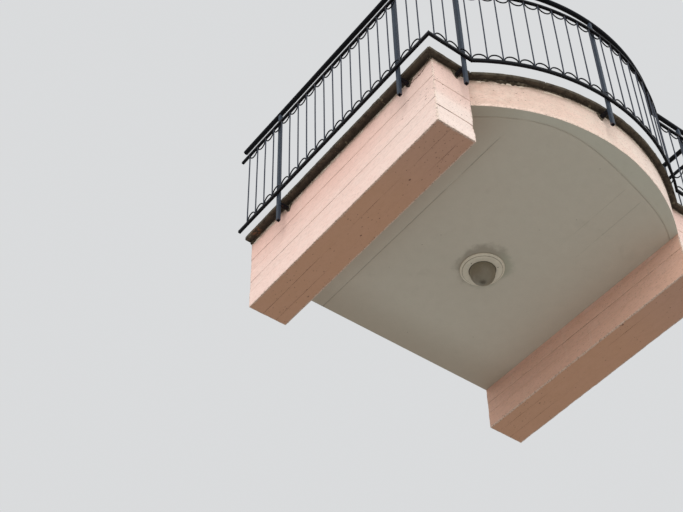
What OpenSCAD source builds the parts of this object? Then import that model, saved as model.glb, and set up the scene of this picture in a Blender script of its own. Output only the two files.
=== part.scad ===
// Wrought iron balcony with a bowed front: a concrete floor slab on two
// cantilever beams, a stone coping, and a painted iron railing with
// scalloped infill that follows the bow.
//
// The origin lies in the middle of the slab's back face, on the wall.
// +X runs along the wall to the right, as seen from outside.
// -Y points out from the wall, and +Z is up.

/* [Concrete] */
// Overall width over the outer faces of the two beams
body_w = 2505; // [2300:5:2900]
// How far the beams stand out from the wall
reach = 2040; // [1900:5:2300]
// Width of each cantilever beam
beam_w = 305; // [240:5:360]
// Depth of the beams below the slab's soffit
beam_drop = 375; // [250:5:450]
// Thickness of the floor slab
slab_t = 268; // [180:2:300]
// How far the slab's curved front stands out past the beams, at its lower edge
slab_rise = 306; // [200:2:340]
// How much further out the upper edge of that curved front leans
slab_lean = 5; // [0:1:60]
// Distance of the drip groove from the curved edge
groove_in = 90; // [60:5:200]
// Width of the drip groove
groove_w = 12; // [6:1:20]
// Depth of the drip groove
groove_depth = 8; // [4:1:12]

/* [Coping and floor] */
// Thickness of the coping stones
coping_t = 29; // [25:1:55]
// Overhang of the coping past the concrete in front
coping_out = 48; // [30:1:72]
// Overhang of the coping past the outer faces of the beams
coping_side = 62; // [30:1:72]
// Width of the coping that lies on the slab
coping_in = 180; // [120:5:260]
// Thickness of the floor paving between the copings
paving_t = 25; // [20:1:40]

/* [Railing] */
// Distance from the concrete to the middle of the rails
rail_out = 112; // [104:1:130]
// Width of the top and bottom rails, and height of the top one
rail_w = 20; // [16:1:26]
// Height of the bottom rail
bottom_t = 24; // [16:1:34]
// Width of the square posts
post_w = 25; // [20:1:28]
// Diameter of the round handrail
handrail_d = 37; // [30:1:42]
// Height of the bottom rail's middle above the coping
bottom_h = 20; // [18:1:90]
// Height of the top rail's middle above the coping
top_h = 790; // [740:1:900]
// Height of the handrail's middle above the coping
handrail_h = 927; // [880:1:1100]
// How far the posts run down past the coping's underside
post_tail = 219; // [130:1:250]
// The same, for the post in the middle of the bow
bow_tail = 199; // [130:1:250]
// Distance of the middle of the posts' brackets below the coping's underside
bracket_drop = 42; // [18:1:80]
// How far the railing's bow stands out past its straight front
bow_rise = 304; // [200:1:340]
// Radius of the railing's bow
bow_r = 1640; // [1500:1:2100]
// How far the railing's bow sits to the left of the middle
bow_left = 51; // [0:1:60]

/* [Infill] */
// Diameter of the upright balusters
baluster_d = 10; // [8:1:14]
// Diameter of the bar that the scallops are bent from
scallop_d = 10; // [6:1:12]
// Height of a scallop's bar above the rail that it stands on
scallop_h = 57; // [50:1:70]
// Spacing of the balusters along the straight runs
pitch = 103.5; // [90:0.5:120]
// Distance from the wall to the first baluster
first_y = 99; // [60:1:140]
// Number of balusters on each side of the balcony
side_n = 20; // [18:1:20]
// Distance from the front corner to the first baluster of the front
corner_gap = 48; // [30:1:70]
// Number of spaces between the balusters of the bow
bow_n = 19; // [17:2:21]

/* [Lamp] */
// Distance of the lamp from the middle, to the right
lamp_x = 70; // [-400:10:400]
// Distance of the lamp from the wall
lamp_y = 972; // [600:1:1300]
// Diameter of the lamp's base
lamp_d = 324; // [240:2:360]
// Diameter of the glass dome where it meets its ring
dome_d = 192; // [150:2:220]
// Height of the glass dome
dome_h = 115; // [60:1:130]

/* [Hidden] */
$fn = 96;
// The two sides of the balcony, as seen from outside
LEFT = 1;
RIGHT = -1;
// Larger than anything that is cut
far = 6000;
half_w = body_w / 2;
bay_w = half_w - beam_w;
soffit_z = -slab_t / 2;
deck_z = slab_t / 2;
beam_z = soffit_z - beam_drop;
coping_z = deck_z + coping_t;
// Radius of the slab's curved front at its lower edge, and how far the centre
// of that curve is from the wall
slab_r = arc_r(slab_rise);
slab_c = arc_c(slab_rise);
// The same at its upper edge, which the coping and the paving run parallel to
front_r = arc_r(slab_rise + slab_lean);
front_c = arc_c(slab_rise + slab_lean);
// Curved front of the railing, the same way
bow_c = reach + rail_out + bow_rise - bow_r;
// How far before its kink the coping has a joint
joint_in = 12;
bottom_z = coping_z + bottom_h;
top_z = coping_z + top_h;
handrail_z = coping_z + handrail_h;
post_out = rail_out - rail_w / 2 - post_w / 2;
bracket_w = post_w;
bracket_z = deck_z - bracket_drop;
// Half the angle of the railing's bow, seen from its centre
bow_a = asin(kink_dx(rail_out) / bow_r);
// Where the posts stand: the numbers of the side spaces that they halve, and
// how many spaces the front ones are from the kink, on the left and the right
side_posts = [4, 17];
front_posts = [0.5, 2.5];
infill_z = bottom_z + bottom_t / 2;
infill_h = top_z - rail_w / 2 - infill_z;
// Room between a scallop and the balusters beside it
scallop_gap = 0.5;
// The lamp: thickness of its base and its ring, width of the base's rim,
// distance of the screws from the dome, and how much fuller than an ellipse
// the dome is, which is below 1
base_h = 16;
ring_h = 6;
rim_w = 18;
screw_out = 17;
screw_d = 7;
dome_power = 0.85;

// Radius of an arc that spans the bay between the beams and rises by "rise",
// and how far its centre is from the wall
function arc_r(rise) = (bay_w * bay_w + rise * rise) / (2 * rise);
function arc_c(rise) = reach + rise - arc_r(rise);

// Half the width of the railing's bow where a line that runs "out" from the
// concrete changes from straight to curved
function kink_dx(out) =
    let (r = bow_r + out - rail_out, y = reach + out - bow_c)
    sqrt(r * r - y * y);
// The same for the slab's own bow, which is centred
function floor_kink(out) =
    sqrt(pow(front_r + out, 2) - pow(reach + out - front_c, 2));
// Distance of the railing's kink from the middle, on side s
function kink_x(out, s) = kink_dx(out) + s * bow_left;
// Angle by which a line that runs "out" turns at the kink
function turn(out) = asin(kink_dx(out) / (bow_r + out - rail_out));
// The straight front run of the infill on side s: length, spaces and pitch
function run(s) = half_w + rail_out - kink_x(rail_out, s) - corner_gap;
function run_n(s) = round(run(s) / pitch);
function run_p(s) = run(s) / run_n(s);
// Angle between neighbouring balusters of the bow
bow_step = 2 * bow_a / bow_n;

// Everything on a side is drawn for the left and mirrored for the right
module on_side(s) {
    if (s == LEFT) children();
    else mirror([1, 0, 0]) children();
}

// Half of space that lies beyond a point, in the direction of angle a
module beyond(x, y, a) {
    translate([x, y, 0])
        rotate(a)
            translate([0, -far / 2, -far / 2])
                cube([far, far, far]);
}

// What lies past the mitre at the front corner of a line
module past_corner(out) {
    beyond(-half_w - out, -reach - out, -45);
}

// What lies past the mitre at the kink where the bow begins
module past_kink(out, s) {
    beyond(-kink_x(out, s), -reach - out, -turn(out) / 2);
}

// A point of the bow at angle a from its middle, looking outwards
module on_bow(a, out) {
    translate([-bow_left, -bow_c, 0])
        rotate(a)
            translate([0, -(bow_r + out - rail_out), 0])
                children();
}

// Bars centred on the line: a flat one of height "tall" and a round one
module flat_bar(length, tall) {
    translate([0, -rail_w / 2, -tall / 2])
        cube([length, rail_w, tall]);
}

module round_bar(length) {
    rotate([0, 90, 0])
        cylinder(h = length, d = handrail_d);
}

// Straight line along the side, from the wall to the mitred corner
module side_line(out, z) {
    difference() {
        translate([-half_w - out, 0, z])
            rotate(-90)
                children();
        past_corner(out);
    }
}

// Straight line along the front, from the corner to the kink
module front_line(out, z, s) {
    difference() {
        intersection() {
            translate([-half_w - out - 100, -reach - out, z])
                children();
            past_corner(out);
        }
        past_kink(out, s);
    }
}

// Curved line of the bow, mitred at both kinks; the children are its section
module bow_line(out, z) {
    reach_a = turn(out) + 4;
    intersection() {
        translate([-bow_left, -bow_c, z])
            rotate(-90 - reach_a)
                rotate_extrude(angle = 2 * reach_a, $fn = 180)
                    translate([bow_r + out - rail_out, 0])
                        children();
        past_kink(out, LEFT);
        on_side(RIGHT) past_kink(out, RIGHT);
    }
}

// The concrete: slab and beams

// Plan of the slab between the beams, with a front that rises by "rise"
module bay_plan(rise) {
    intersection() {
        translate([0, -arc_c(rise)])
            circle(r = arc_r(rise), $fn = 240);
        translate([-bay_w, -reach - rise - 1])
            square([2 * bay_w, reach + rise + 1]);
    }
    translate([-bay_w, -reach])
        square([2 * bay_w, reach]);
}

// The slab: its curved front leans outwards from the soffit to the coping
module slab_block() {
    sheet = 0.01;
    hull() {
        translate([0, 0, soffit_z])
            linear_extrude(sheet) bay_plan(slab_rise);
        translate([0, 0, deck_z - sheet])
            linear_extrude(sheet) bay_plan(slab_rise + slab_lean);
    }
}

// Slice of an upright cylinder in front of a straight line that runs at
// distance "chord" from its axis
module bow_block(r, chord, h) {
    lap = 5;
    intersection() {
        cylinder(h = h, r = r, $fn = 180);
        translate([-r, -r - 1, -1])
            cube([2 * r, r + 1 - chord + lap, h + 2]);
    }
}

// Upright prism of the floor's plan, grown by "out" from the concrete in front
// and by "side" at the sides; its bowed front runs parallel to the slab's
module floor_block(out, side, z0, z1) {
    translate([-half_w - side, -reach - out, z0])
        cube([body_w + 2 * side, reach + out, z1 - z0]);
    translate([0, -front_c, z0])
        bow_block(front_r + out, reach + out - front_c, z1 - z0);
}

module floor_slab() {
    groove_r = slab_r - groove_in;
    color("#a9a394")
    difference() {
        slab_block();
        intersection() {
            translate([0, -slab_c, soffit_z - 1])
                difference() {
                    cylinder(h = groove_depth + 1, r = groove_r, $fn = 180);
                    translate([0, 0, -1])
                        cylinder(h = groove_depth + 3, r = groove_r - groove_w, $fn = 180);
                }
            translate([-far / 2, -far - reach + groove_in * 2, -far / 2])
                cube([far, far, far]);
        }
    }
}

module beam(s) {
    color("#dfb9a6")
    on_side(s)
        translate([-half_w, -reach, beam_z])
            cube([beam_w, reach, deck_z - beam_z]);
}

// The coping stones and the floor

// Ring of coping stones round the floor
module coping_ring() {
    difference() {
        floor_block(coping_out, coping_side, deck_z, coping_z);
        floor_block(-coping_in, -coping_in, deck_z - 1, coping_z + 1);
    }
}

// What lies past the joint between the front stones and those of the bow
module past_joint() {
    beyond(-floor_kink(coping_out) - joint_in, 0, 0);
}

module coping_side(s) {
    color("#5d5a4e")
    difference() {
        coping_ring();
        on_side(s) {
            past_corner(0);
            beyond(0, 0, 0);
        }
    }
}

module coping_front(s) {
    color("#5d5a4e")
    difference() {
        intersection() {
            coping_ring();
            on_side(s) past_corner(0);
        }
        on_side(s) past_joint();
    }
}

module coping_bow() {
    color("#5d5a4e")
    intersection() {
        coping_ring();
        past_joint();
        on_side(RIGHT) past_joint();
    }
}

module floor_paving() {
    color("#9c8f80")
    floor_block(-coping_in, -coping_in, deck_z, deck_z + paving_t);
}

// The rails

module handrail_side(s) {
    color("#23282d")
    on_side(s) side_line(post_out, handrail_z) round_bar(far / 2);
}

module handrail_front(s) {
    color("#23282d")
    on_side(s) front_line(post_out, handrail_z, s) round_bar(far / 4);
}

module handrail_bow() {
    color("#23282d")
    bow_line(post_out, handrail_z) circle(d = handrail_d);
}

module rail_side(z, tall, s) {
    color("#262b30")
    on_side(s) side_line(rail_out, z) flat_bar(far / 2, tall);
}

module rail_front(z, tall, s) {
    color("#262b30")
    on_side(s) front_line(rail_out, z, s) flat_bar(far / 4, tall);
}

module rail_bow(z, tall) {
    color("#262b30")
    bow_line(rail_out, z) square([rail_w, tall], center = true);
}

// The posts and their brackets

// Post up to the middle of the handrail, centred on its place in the plan
module post_bar(tail = post_tail) {
    translate([-post_w / 2, -post_w / 2, deck_z - tail])
        cube([post_w, post_w, handrail_z - deck_z + tail]);
}

// Post of the side run, midway between balusters number n and n + 1
function side_post_y(n) = first_y + (n - 0.5) * pitch;

module side_post(n, s) {
    color("#2b3137")
    on_side(s)
        difference() {
            translate([-half_w - post_out, -side_post_y(n), 0]) post_bar();
            translate([-half_w - post_out, 0, handrail_z])
                rotate([90, 0, 0])
                    cylinder(h = far / 2, d = handrail_d);
        }
}

// Post of the front run on side s
function front_post_x(s) =
    kink_x(rail_out, s) + front_posts[s == LEFT ? 0 : 1] * run_p(s);

module front_post(s) {
    color("#2b3137")
    on_side(s)
        difference() {
            translate([-front_post_x(s), -reach - post_out, 0]) post_bar();
            translate([-far / 4, -reach - post_out, handrail_z])
                round_bar(far / 2);
        }
}

module post_bow() {
    color("#2b3137")
    difference() {
        on_bow(0, post_out) post_bar(bow_tail);
        handrail_bow();
    }
}

// Stub that holds a post off the concrete, pointing out along -Y
module stub(length) {
    translate([-bracket_w / 2, 0, bracket_z - bracket_w / 2])
        cube([bracket_w, length, bracket_w]);
}

module post_brackets_side(s) {
    color("#1f2428")
    on_side(s)
        for (n = side_posts)
            translate([-half_w - post_out + post_w / 2, -side_post_y(n), 0])
                rotate(-90)
                    stub(post_out - post_w / 2);
}

module post_brackets_front() {
    length = post_out - post_w / 2;
    color("#1f2428") {
        for (s = [LEFT, RIGHT])
            on_side(s)
                translate([-front_post_x(s), -reach - length, 0]) stub(length);
        difference() {
            on_bow(0, post_out - post_w / 2) stub(length * 2);
            slab_block();
        }
    }
}

// The infill of balusters and scallops

module baluster() {
    translate([0, 0, infill_z])
        cylinder(h = infill_h, d = baluster_d, $fn = 32);
}

// Half ring of radius r on two short legs, standing on z = 0
module scallop(r) {
    leg = scallop_h - r;
    translate([0, 0, leg])
        rotate([90, 0, 0])
            rotate_extrude(angle = 180, $fn = 48)
                translate([r, 0]) circle(d = scallop_d, $fn = 24);
    for (x = [-r, r])
        translate([x, 0, 0])
            cylinder(h = leg, d = scallop_d, $fn = 24);
}

// Pair of scallops between two balusters: one stands on the bottom rail, the
// other hangs from the top rail; space is how far apart the balusters are
module scallops(space) {
    r = (space - baluster_d - scallop_d) / 2 - scallop_gap;
    for (end = [0, 1])
        translate([0, 0, infill_z + end * infill_h])
            rotate([0, end * 180, 0])
                scallop(r);
}

// Straight panel along X: n spaces of width p, with a baluster at each end
module straight_panel(n, p, last = true) {
    for (i = [0 : n - (last ? 0 : 1)])
        translate([i * p, 0, 0]) baluster();
    for (i = [0 : n - 1])
        translate([(i + 0.5) * p, 0, 0]) scallops(p);
}

module infill_side(s) {
    color("#2a2f35")
    on_side(s)
        translate([-half_w - rail_out, -first_y, 0])
            rotate(-90)
                straight_panel(side_n - 1, pitch);
}

module infill_front(s) {
    color("#2a2f35")
    on_side(s)
        translate([-half_w - rail_out + corner_gap, -reach - rail_out, 0])
            straight_panel(run_n(s), run_p(s), last = false);
}

// Half of the bow's infill; the middle pair of scallops is on the left half
module infill_bow(s) {
    mid = (bow_n - 1) / 2;
    chord = 2 * bow_r * sin(bow_step / 2);
    sag = bow_r * (1 - cos(bow_step / 2));
    color("#2a2f35") {
        for (i = [0 : mid])
            on_bow(-s * (bow_a - i * bow_step), rail_out) baluster();
        for (i = [0 : mid - (s == LEFT ? 0 : 1)])
            on_bow(-s * (bow_a - (i + 0.5) * bow_step), rail_out)
                translate([0, sag, 0]) scallops(chord);
    }
}

// The lamp under the slab

// Places its children on the soffit, pointing down
module on_soffit() {
    translate([lamp_x, -lamp_y, soffit_z])
        rotate([180, 0, 0])
            children();
}

module lamp_base() {
    r = lamp_d / 2;
    color("#cfc7b2")
    on_soffit()
        rotate_extrude()
            polygon([
                [0, 0], [r, 0], [r, base_h - 11], [r - 2, base_h - 7],
                [r - 7, base_h - 3], [r - 15, base_h], [0, base_h]
            ]);
}

// Flat ring that holds the dome; a fine groove parts it from the base
module lamp_ring() {
    r = lamp_d / 2 - rim_w;
    lip = dome_d / 2;
    color("#d6cfbb")
    on_soffit()
        rotate_extrude()
            polygon([
                [lip, base_h], [r, base_h], [r, base_h + 2], [r - 3, base_h + 4],
                [lip + 8, base_h + ring_h], [lip + 3, base_h + ring_h],
                [lip, base_h + 4]
            ]);
}

// Deep dome, a little fuller than half an ellipse
module lamp_glass() {
    r = dome_d / 2;
    foot = base_h + 2;
    color("#8f8674")
    on_soffit()
        rotate_extrude()
            polygon(concat(
                [[0, base_h], [r, base_h]],
                [for (a = [0 : 7.5 : 82.5])
                    [r * pow(cos(a), dome_power), foot + dome_h * pow(sin(a), dome_power)]],
                [[0, foot + dome_h]]
            ));
}

module lamp_screws() {
    color("#4a4a48")
    on_soffit()
        for (a = [55, 175, 295])
            rotate(a)
                translate([dome_d / 2 + screw_out, 0, base_h + 3])
                    cylinder(h = 4, d = screw_d, $fn = 24);
}

floor_slab();
beam(LEFT);  // left_beam
beam(RIGHT);  // right_beam
floor_paving();
coping_side(LEFT);  // coping_left
coping_front(LEFT);  // coping_front_left
coping_bow();
coping_front(RIGHT);  // coping_front_right
coping_side(RIGHT);  // coping_right
handrail_side(LEFT);  // handrail_left
handrail_front(LEFT);  // handrail_front_left
handrail_bow();
handrail_front(RIGHT);  // handrail_front_right
handrail_side(RIGHT);  // handrail_right
rail_side(top_z, rail_w, LEFT);  // top_rail_left
rail_front(top_z, rail_w, LEFT);  // top_rail_front_left
rail_bow(top_z, rail_w);  // top_rail_bow
rail_front(top_z, rail_w, RIGHT);  // top_rail_front_right
rail_side(top_z, rail_w, RIGHT);  // top_rail_right
rail_side(bottom_z, bottom_t, LEFT);  // bottom_rail_left
rail_front(bottom_z, bottom_t, LEFT);  // bottom_rail_front_left
rail_bow(bottom_z, bottom_t);  // bottom_rail_bow
rail_front(bottom_z, bottom_t, RIGHT);  // bottom_rail_front_right
rail_side(bottom_z, bottom_t, RIGHT);  // bottom_rail_right
side_post(side_posts[0], LEFT);  // post_left_rear
side_post(side_posts[1], LEFT);  // post_left_front
front_post(LEFT);  // post_front_left
post_bow();
front_post(RIGHT);  // post_front_right
side_post(side_posts[1], RIGHT);  // post_right_front
side_post(side_posts[0], RIGHT);  // post_right_rear
post_brackets_side(LEFT);  // post_brackets_left
post_brackets_front();
post_brackets_side(RIGHT);  // post_brackets_right
infill_side(LEFT);  // infill_left
infill_front(LEFT);  // infill_front_left
infill_bow(LEFT);  // infill_bow_left
infill_bow(RIGHT);  // infill_bow_right
infill_front(RIGHT);  // infill_front_right
infill_side(RIGHT);  // infill_right
lamp_base();
lamp_ring();
lamp_glass();
lamp_screws();
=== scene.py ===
"""Looks of the wrought iron balcony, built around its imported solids.

A concrete slab with a bowed, leaning front lies between two cantilever beams.
Stone coping, a black iron railing with scalloped infill and a round bulkhead
lamp complete it. All sizes are in metres: X runs along the wall, -Y points
out from it and Z is up.
"""

from __future__ import annotations

import logging
import math
from dataclasses import dataclass, field
from enum import Enum
from functools import reduce
from typing import Callable, Iterable, Sequence

import bmesh
import bpy
import numpy as np
from mathutils import Matrix, Vector


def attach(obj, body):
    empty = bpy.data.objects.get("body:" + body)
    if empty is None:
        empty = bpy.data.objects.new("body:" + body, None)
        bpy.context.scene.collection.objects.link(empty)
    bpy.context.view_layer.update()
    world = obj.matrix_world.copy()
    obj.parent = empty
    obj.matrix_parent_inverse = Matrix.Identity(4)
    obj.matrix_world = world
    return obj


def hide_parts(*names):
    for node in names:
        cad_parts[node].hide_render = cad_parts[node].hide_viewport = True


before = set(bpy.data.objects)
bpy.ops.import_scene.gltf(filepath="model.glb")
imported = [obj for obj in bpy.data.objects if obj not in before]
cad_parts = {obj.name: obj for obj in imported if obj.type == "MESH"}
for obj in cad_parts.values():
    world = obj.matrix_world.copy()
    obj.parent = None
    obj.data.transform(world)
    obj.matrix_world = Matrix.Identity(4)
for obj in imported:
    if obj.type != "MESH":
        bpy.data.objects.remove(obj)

LOG = logging.getLogger("balcony")
BODY = "root"
Array = np.ndarray
Material = bpy.types.Material
Node = bpy.types.Node
Piece = bpy.types.Object
Socket = bpy.types.NodeSocket
Tree = bpy.types.NodeTree
Point = tuple[float, float]
Colour = tuple[float, float, float]
Triples = tuple[tuple[float, float, float], ...]
Profile = list[tuple[float, float, float]]


def srgb(red: float, green: float, blue: float) -> Colour:
    """The linear colour that shaders use, from screen values of 0 to 255."""
    channels = [value / 255 for value in (red, green, blue)]
    return tuple(c / 12.92 if c <= 0.04045 else ((c + 0.055) / 1.055) ** 2.4 for c in channels)


class Side(Enum):
    """The two sides of the balcony, with the sign of X on each."""

    LEFT = -1
    RIGHT = 1

    @property
    def word(self) -> str:
        """The side's name as it stands in the names of the nodes."""
        return self.name.lower()


class Run(Enum):
    """The straight and bowed runs of coping and railing, from left to right."""

    LEFT = "left"
    FRONT_LEFT = "front_left"
    BOW = "bow"
    FRONT_RIGHT = "front_right"
    RIGHT = "right"


@dataclass(frozen=True)
class Bow:
    """Bowed lines in plan that share a centre, with straight lines beside them.

    Each line is known by how far out from the concrete it runs.
    """

    x: float
    y: float
    radius: float
    front: float

    def r(self, out: float) -> float:
        """Radius of a line."""
        return self.radius + out

    def half_width(self, out: float) -> float:
        """Half the width of its bowed part."""
        return math.sqrt(self.r(out) ** 2 - (self.front + out + self.y) ** 2)

    def half_angle(self, out: float) -> float:
        """Half the angle of its bowed part, seen from the centre."""
        return math.asin(self.half_width(out) / self.r(out))

    def at(self, angle: float, out: float) -> Point:
        """Plan point of a line at an angle from its middle."""
        r = self.r(out)
        return self.x + r * math.sin(angle), self.y - r * math.cos(angle)


@dataclass(frozen=True)
class Layout:
    """Sizes that more than one part of the balcony shares."""

    half_width: float = 1.2525
    reach: float = 2.040
    bay: float = 0.9475
    beam_foot: float = -0.509
    soffit: float = -0.134
    deck: float = 0.134
    slab_rise: float = 0.306
    slab_lean: float = 0.005
    coping_top: float = 0.163
    coping_out: float = 0.048
    coping_side: float = 0.062
    coping_in: float = 0.180
    paving_top: float = 0.159
    rail_out: float = 0.112
    post_out: float = 0.0895
    bow_x: float = -0.051
    bow_y: float = -0.816
    bow_radius: float = 1.640
    bottom_rail: float = 0.183
    top_rail: float = 0.953
    handrail: float = 1.090
    rail_half: float = 0.010
    bottom_half: float = 0.012
    handrail_radius: float = 0.0185
    post_half: float = 0.0125
    post_foot: float = -0.085
    bow_post_foot: float = -0.065
    bracket: float = 0.092
    pitch: float = 0.1035
    first_baluster: float = 0.099
    corner_gap: float = 0.048
    bow_spaces: int = 19
    board_joints: tuple[float, ...] = (-0.374, -0.274, -0.169, -0.049)
    front_joints: tuple[float, ...] = (-0.425, -0.348, -0.215, -0.092)
    foot_joints: tuple[float, ...] = (1.031, 1.141)
    lamp_x: float = 0.070
    lamp_y: float = -0.972

    @property
    def rail_bow(self) -> Bow:
        """The railing's bow, which sits a little to the left of the middle."""
        return Bow(self.bow_x, self.bow_y, self.bow_radius - self.rail_out, self.reach)

    @property
    def stone_bow(self) -> Bow:
        """The bow of the slab's upper edge, the coping and the paving."""
        rise = self.slab_rise + self.slab_lean
        return Bow(0.0, self.arc(rise) - self.reach - rise, self.arc(rise), self.reach)

    def arc(self, rise: float) -> float:
        """Radius of an arc between the beams that rises by this much."""
        return (self.bay**2 + rise**2) / (2 * rise)

    def slab_front(self, x: Array, height: float) -> Array:
        """Y of the slab's curved front.

        Args:
            x: positions along the wall.
            height: 0 at the lower edge of the front and 1 at the upper edge.

        Returns:
            Y at each x.
        """
        edges = []
        for rise in (self.slab_rise, self.slab_rise + self.slab_lean):
            r = self.arc(rise)
            edges.append(-(self.reach + rise - r + np.sqrt(r * r - np.asarray(x) ** 2)))
        return edges[0] + (edges[1] - edges[0]) * height

    def plan_line(self, bow: Bow, out: float, step: float,
                  side_out: float | None = None) -> dict[Run, Array]:
        """Plan of a line that follows the concrete's outline at a distance.

        Args:
            bow: the bow that it follows in front.
            out: distance from the concrete.
            step: longest distance between neighbouring points.
            side_out: distance at the sides, where it is another one.

        Returns:
            For each run its points, from the left wall end to the right one.
            Neighbouring runs share their end point.
        """
        edge = self.half_width + (out if side_out is None else side_out)
        front = -self.reach - out
        half = bow.half_angle(out)
        count = max(2, math.ceil(2 * half * bow.r(out) / step) + 1)
        curve = np.array([bow.at(a, out) for a in np.linspace(-half, half, count)])
        corners = np.array([(-edge, 0.0), (-edge, front), curve[0], curve[-1], (edge, front),
                            (edge, 0.0)])
        runs = {}
        for run, start, end in zip(Run, corners, corners[1:]):
            number = max(2, math.ceil(np.linalg.norm(end - start) / step) + 1)
            runs[run] = start + (end - start) * np.linspace(0, 1, number)[:, None]
        return runs | {Run.BOW: curve}

    def box(self) -> tuple[Array, Array]:
        """Box round the whole balcony.

        Returns:
            Its lowest and its highest corner.
        """
        edge = self.half_width + self.rail_out + self.rail_half
        front = self.bow_y - self.bow_radius - self.rail_half
        top = self.handrail + self.handrail_radius
        return np.array([-edge, front, self.beam_foot]), np.array([edge, 0.0, top])


LAYOUT = Layout()


# Noise and meshes


def lattice_noise(points: Array, size: float, seed: int) -> Array:
    """Smooth noise between lattice points of a given spacing.

    Args:
        points: positions, one row each.
        size: spacing of the lattice.
        seed: picks one of many patterns.

    Returns:
        A value from -1 to 1 at each position.
    """
    p = np.asarray(points, float) / size
    cell = np.floor(p).astype(np.int64)
    t = p - cell
    t = t * t * (3 - 2 * t)
    total = np.zeros(len(p))
    for corner in range(8):
        bits = np.array([corner & 1, corner >> 1 & 1, corner >> 2 & 1])
        c = cell + bits
        h = (c[:, 0] * 73856093) ^ (c[:, 1] * 19349663) ^ (c[:, 2] * 83492791)
        h = (h ^ (seed * 2654435761)) & 0xFFFFFFFF
        h = ((h ^ (h >> 15)) * 2246822519) & 0xFFFFFFFF
        h = ((h ^ (h >> 13)) * 3266489917) & 0xFFFFFFFF
        h = (h ^ (h >> 16)) & 0xFFFFFF
        weight = np.prod(np.where(bits, t, 1 - t), axis=1)
        total += weight * (h / 0x7FFFFF - 1)
    return total


def rough(points: Array, size: float, seed: int, octaves: int = 3) -> Array:
    """Several layers of lattice noise, each finer and weaker than the last.

    Args:
        points: positions, one row each.
        size: spacing of the coarsest layer.
        seed: picks one of many patterns.
        octaves: number of layers.

    Returns:
        A value of about -1 to 1 at each position.
    """
    total, weight = np.zeros(len(points)), 0.0
    for layer in range(octaves):
        part = 0.5**layer
        total += part * lattice_noise(points, size * part, seed + 17 * layer)
        weight += part
    return total / weight


def smoothstep(low: float, high: float, x: Array) -> Array:
    """Rises smoothly from 0 at `low` to 1 at `high`."""
    t = np.clip((np.asarray(x, float) - low) / (high - low), 0, 1)
    return t * t * (3 - 2 * t)


def placed(name: str, data: bpy.types.ID) -> Piece:
    """Puts a new object into the scene.

    Args:
        name: its name.
        data: its mesh, light or camera.

    Returns:
        The object.
    """
    made = bpy.data.objects.new(name, data)
    bpy.context.scene.collection.objects.link(made)
    return made


class Shape:
    """Points and faces that become one piece of the balcony.

    Each point also carries named values, such as how near it is to an edge,
    which the finishes read. Each face carries the number of its finish.
    """

    def __init__(self) -> None:
        """Starts an empty shape."""
        self.points: list[Array] = []
        self.faces: list[list[int]] = []
        self.finish_of: list[int] = []
        self.values: dict[str, list[Array]] = {}
        self.count = 0

    def add(self, points: Array, faces: Iterable[Sequence[int]], finish: int | Sequence[int] = 0,
            **values: Array | float) -> None:
        """Adds points and the faces between them.

        Args:
            points: positions, one row each.
            faces: corner numbers of each face, counted within these points.
            finish: number of the faces' finish, or one number per face.
            **values: named values at the points.
        """
        points = np.asarray(points, float)
        faces = [[int(i) + self.count for i in f] for f in faces]
        self.points.append(points)
        self.faces += faces
        same = isinstance(finish, int)
        self.finish_of += [finish] * len(faces) if same else list(finish)
        for name in set(self.values) | set(values):
            past = self.values.setdefault(name, [np.zeros(self.count)])
            past.append(np.broadcast_to(values.get(name, 0.0), len(points)))
        self.count += len(points)

    def build(self, name: str, finishes: Sequence[Material], angle: float = 40) -> Piece:
        """Makes the piece and lets it ride on the balcony's one body.

        Args:
            name: the piece's name.
            finishes: materials, in the order of the faces' finish numbers.
            angle: faces that meet at less than this many degrees shade smoothly.

        Returns:
            The new object.
        """
        mesh = bpy.data.meshes.new(name)
        low, high = LAYOUT.box()
        points = np.clip(np.vstack(self.points), low, high)
        mesh.from_pydata(points.tolist(), [], self.faces)
        for finish in finishes:
            mesh.materials.append(finish)
        mesh.polygons.foreach_set("material_index", self.finish_of)
        for key, parts in self.values.items():
            made = mesh.attributes.new(key, "FLOAT", "POINT")
            made.data.foreach_set("value", np.concatenate(parts).astype(np.float32))
        soup = bmesh.new()
        soup.from_mesh(mesh)
        bmesh.ops.recalc_face_normals(soup, faces=soup.faces[:])
        soup.to_mesh(mesh)
        soup.free()
        mesh.shade_smooth()
        mesh.set_sharp_from_angle(angle=math.radians(angle))
        piece = placed(name, mesh)
        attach(piece, BODY)
        LOG.info("%s: %d faces", name, len(mesh.polygons))
        return piece


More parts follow.
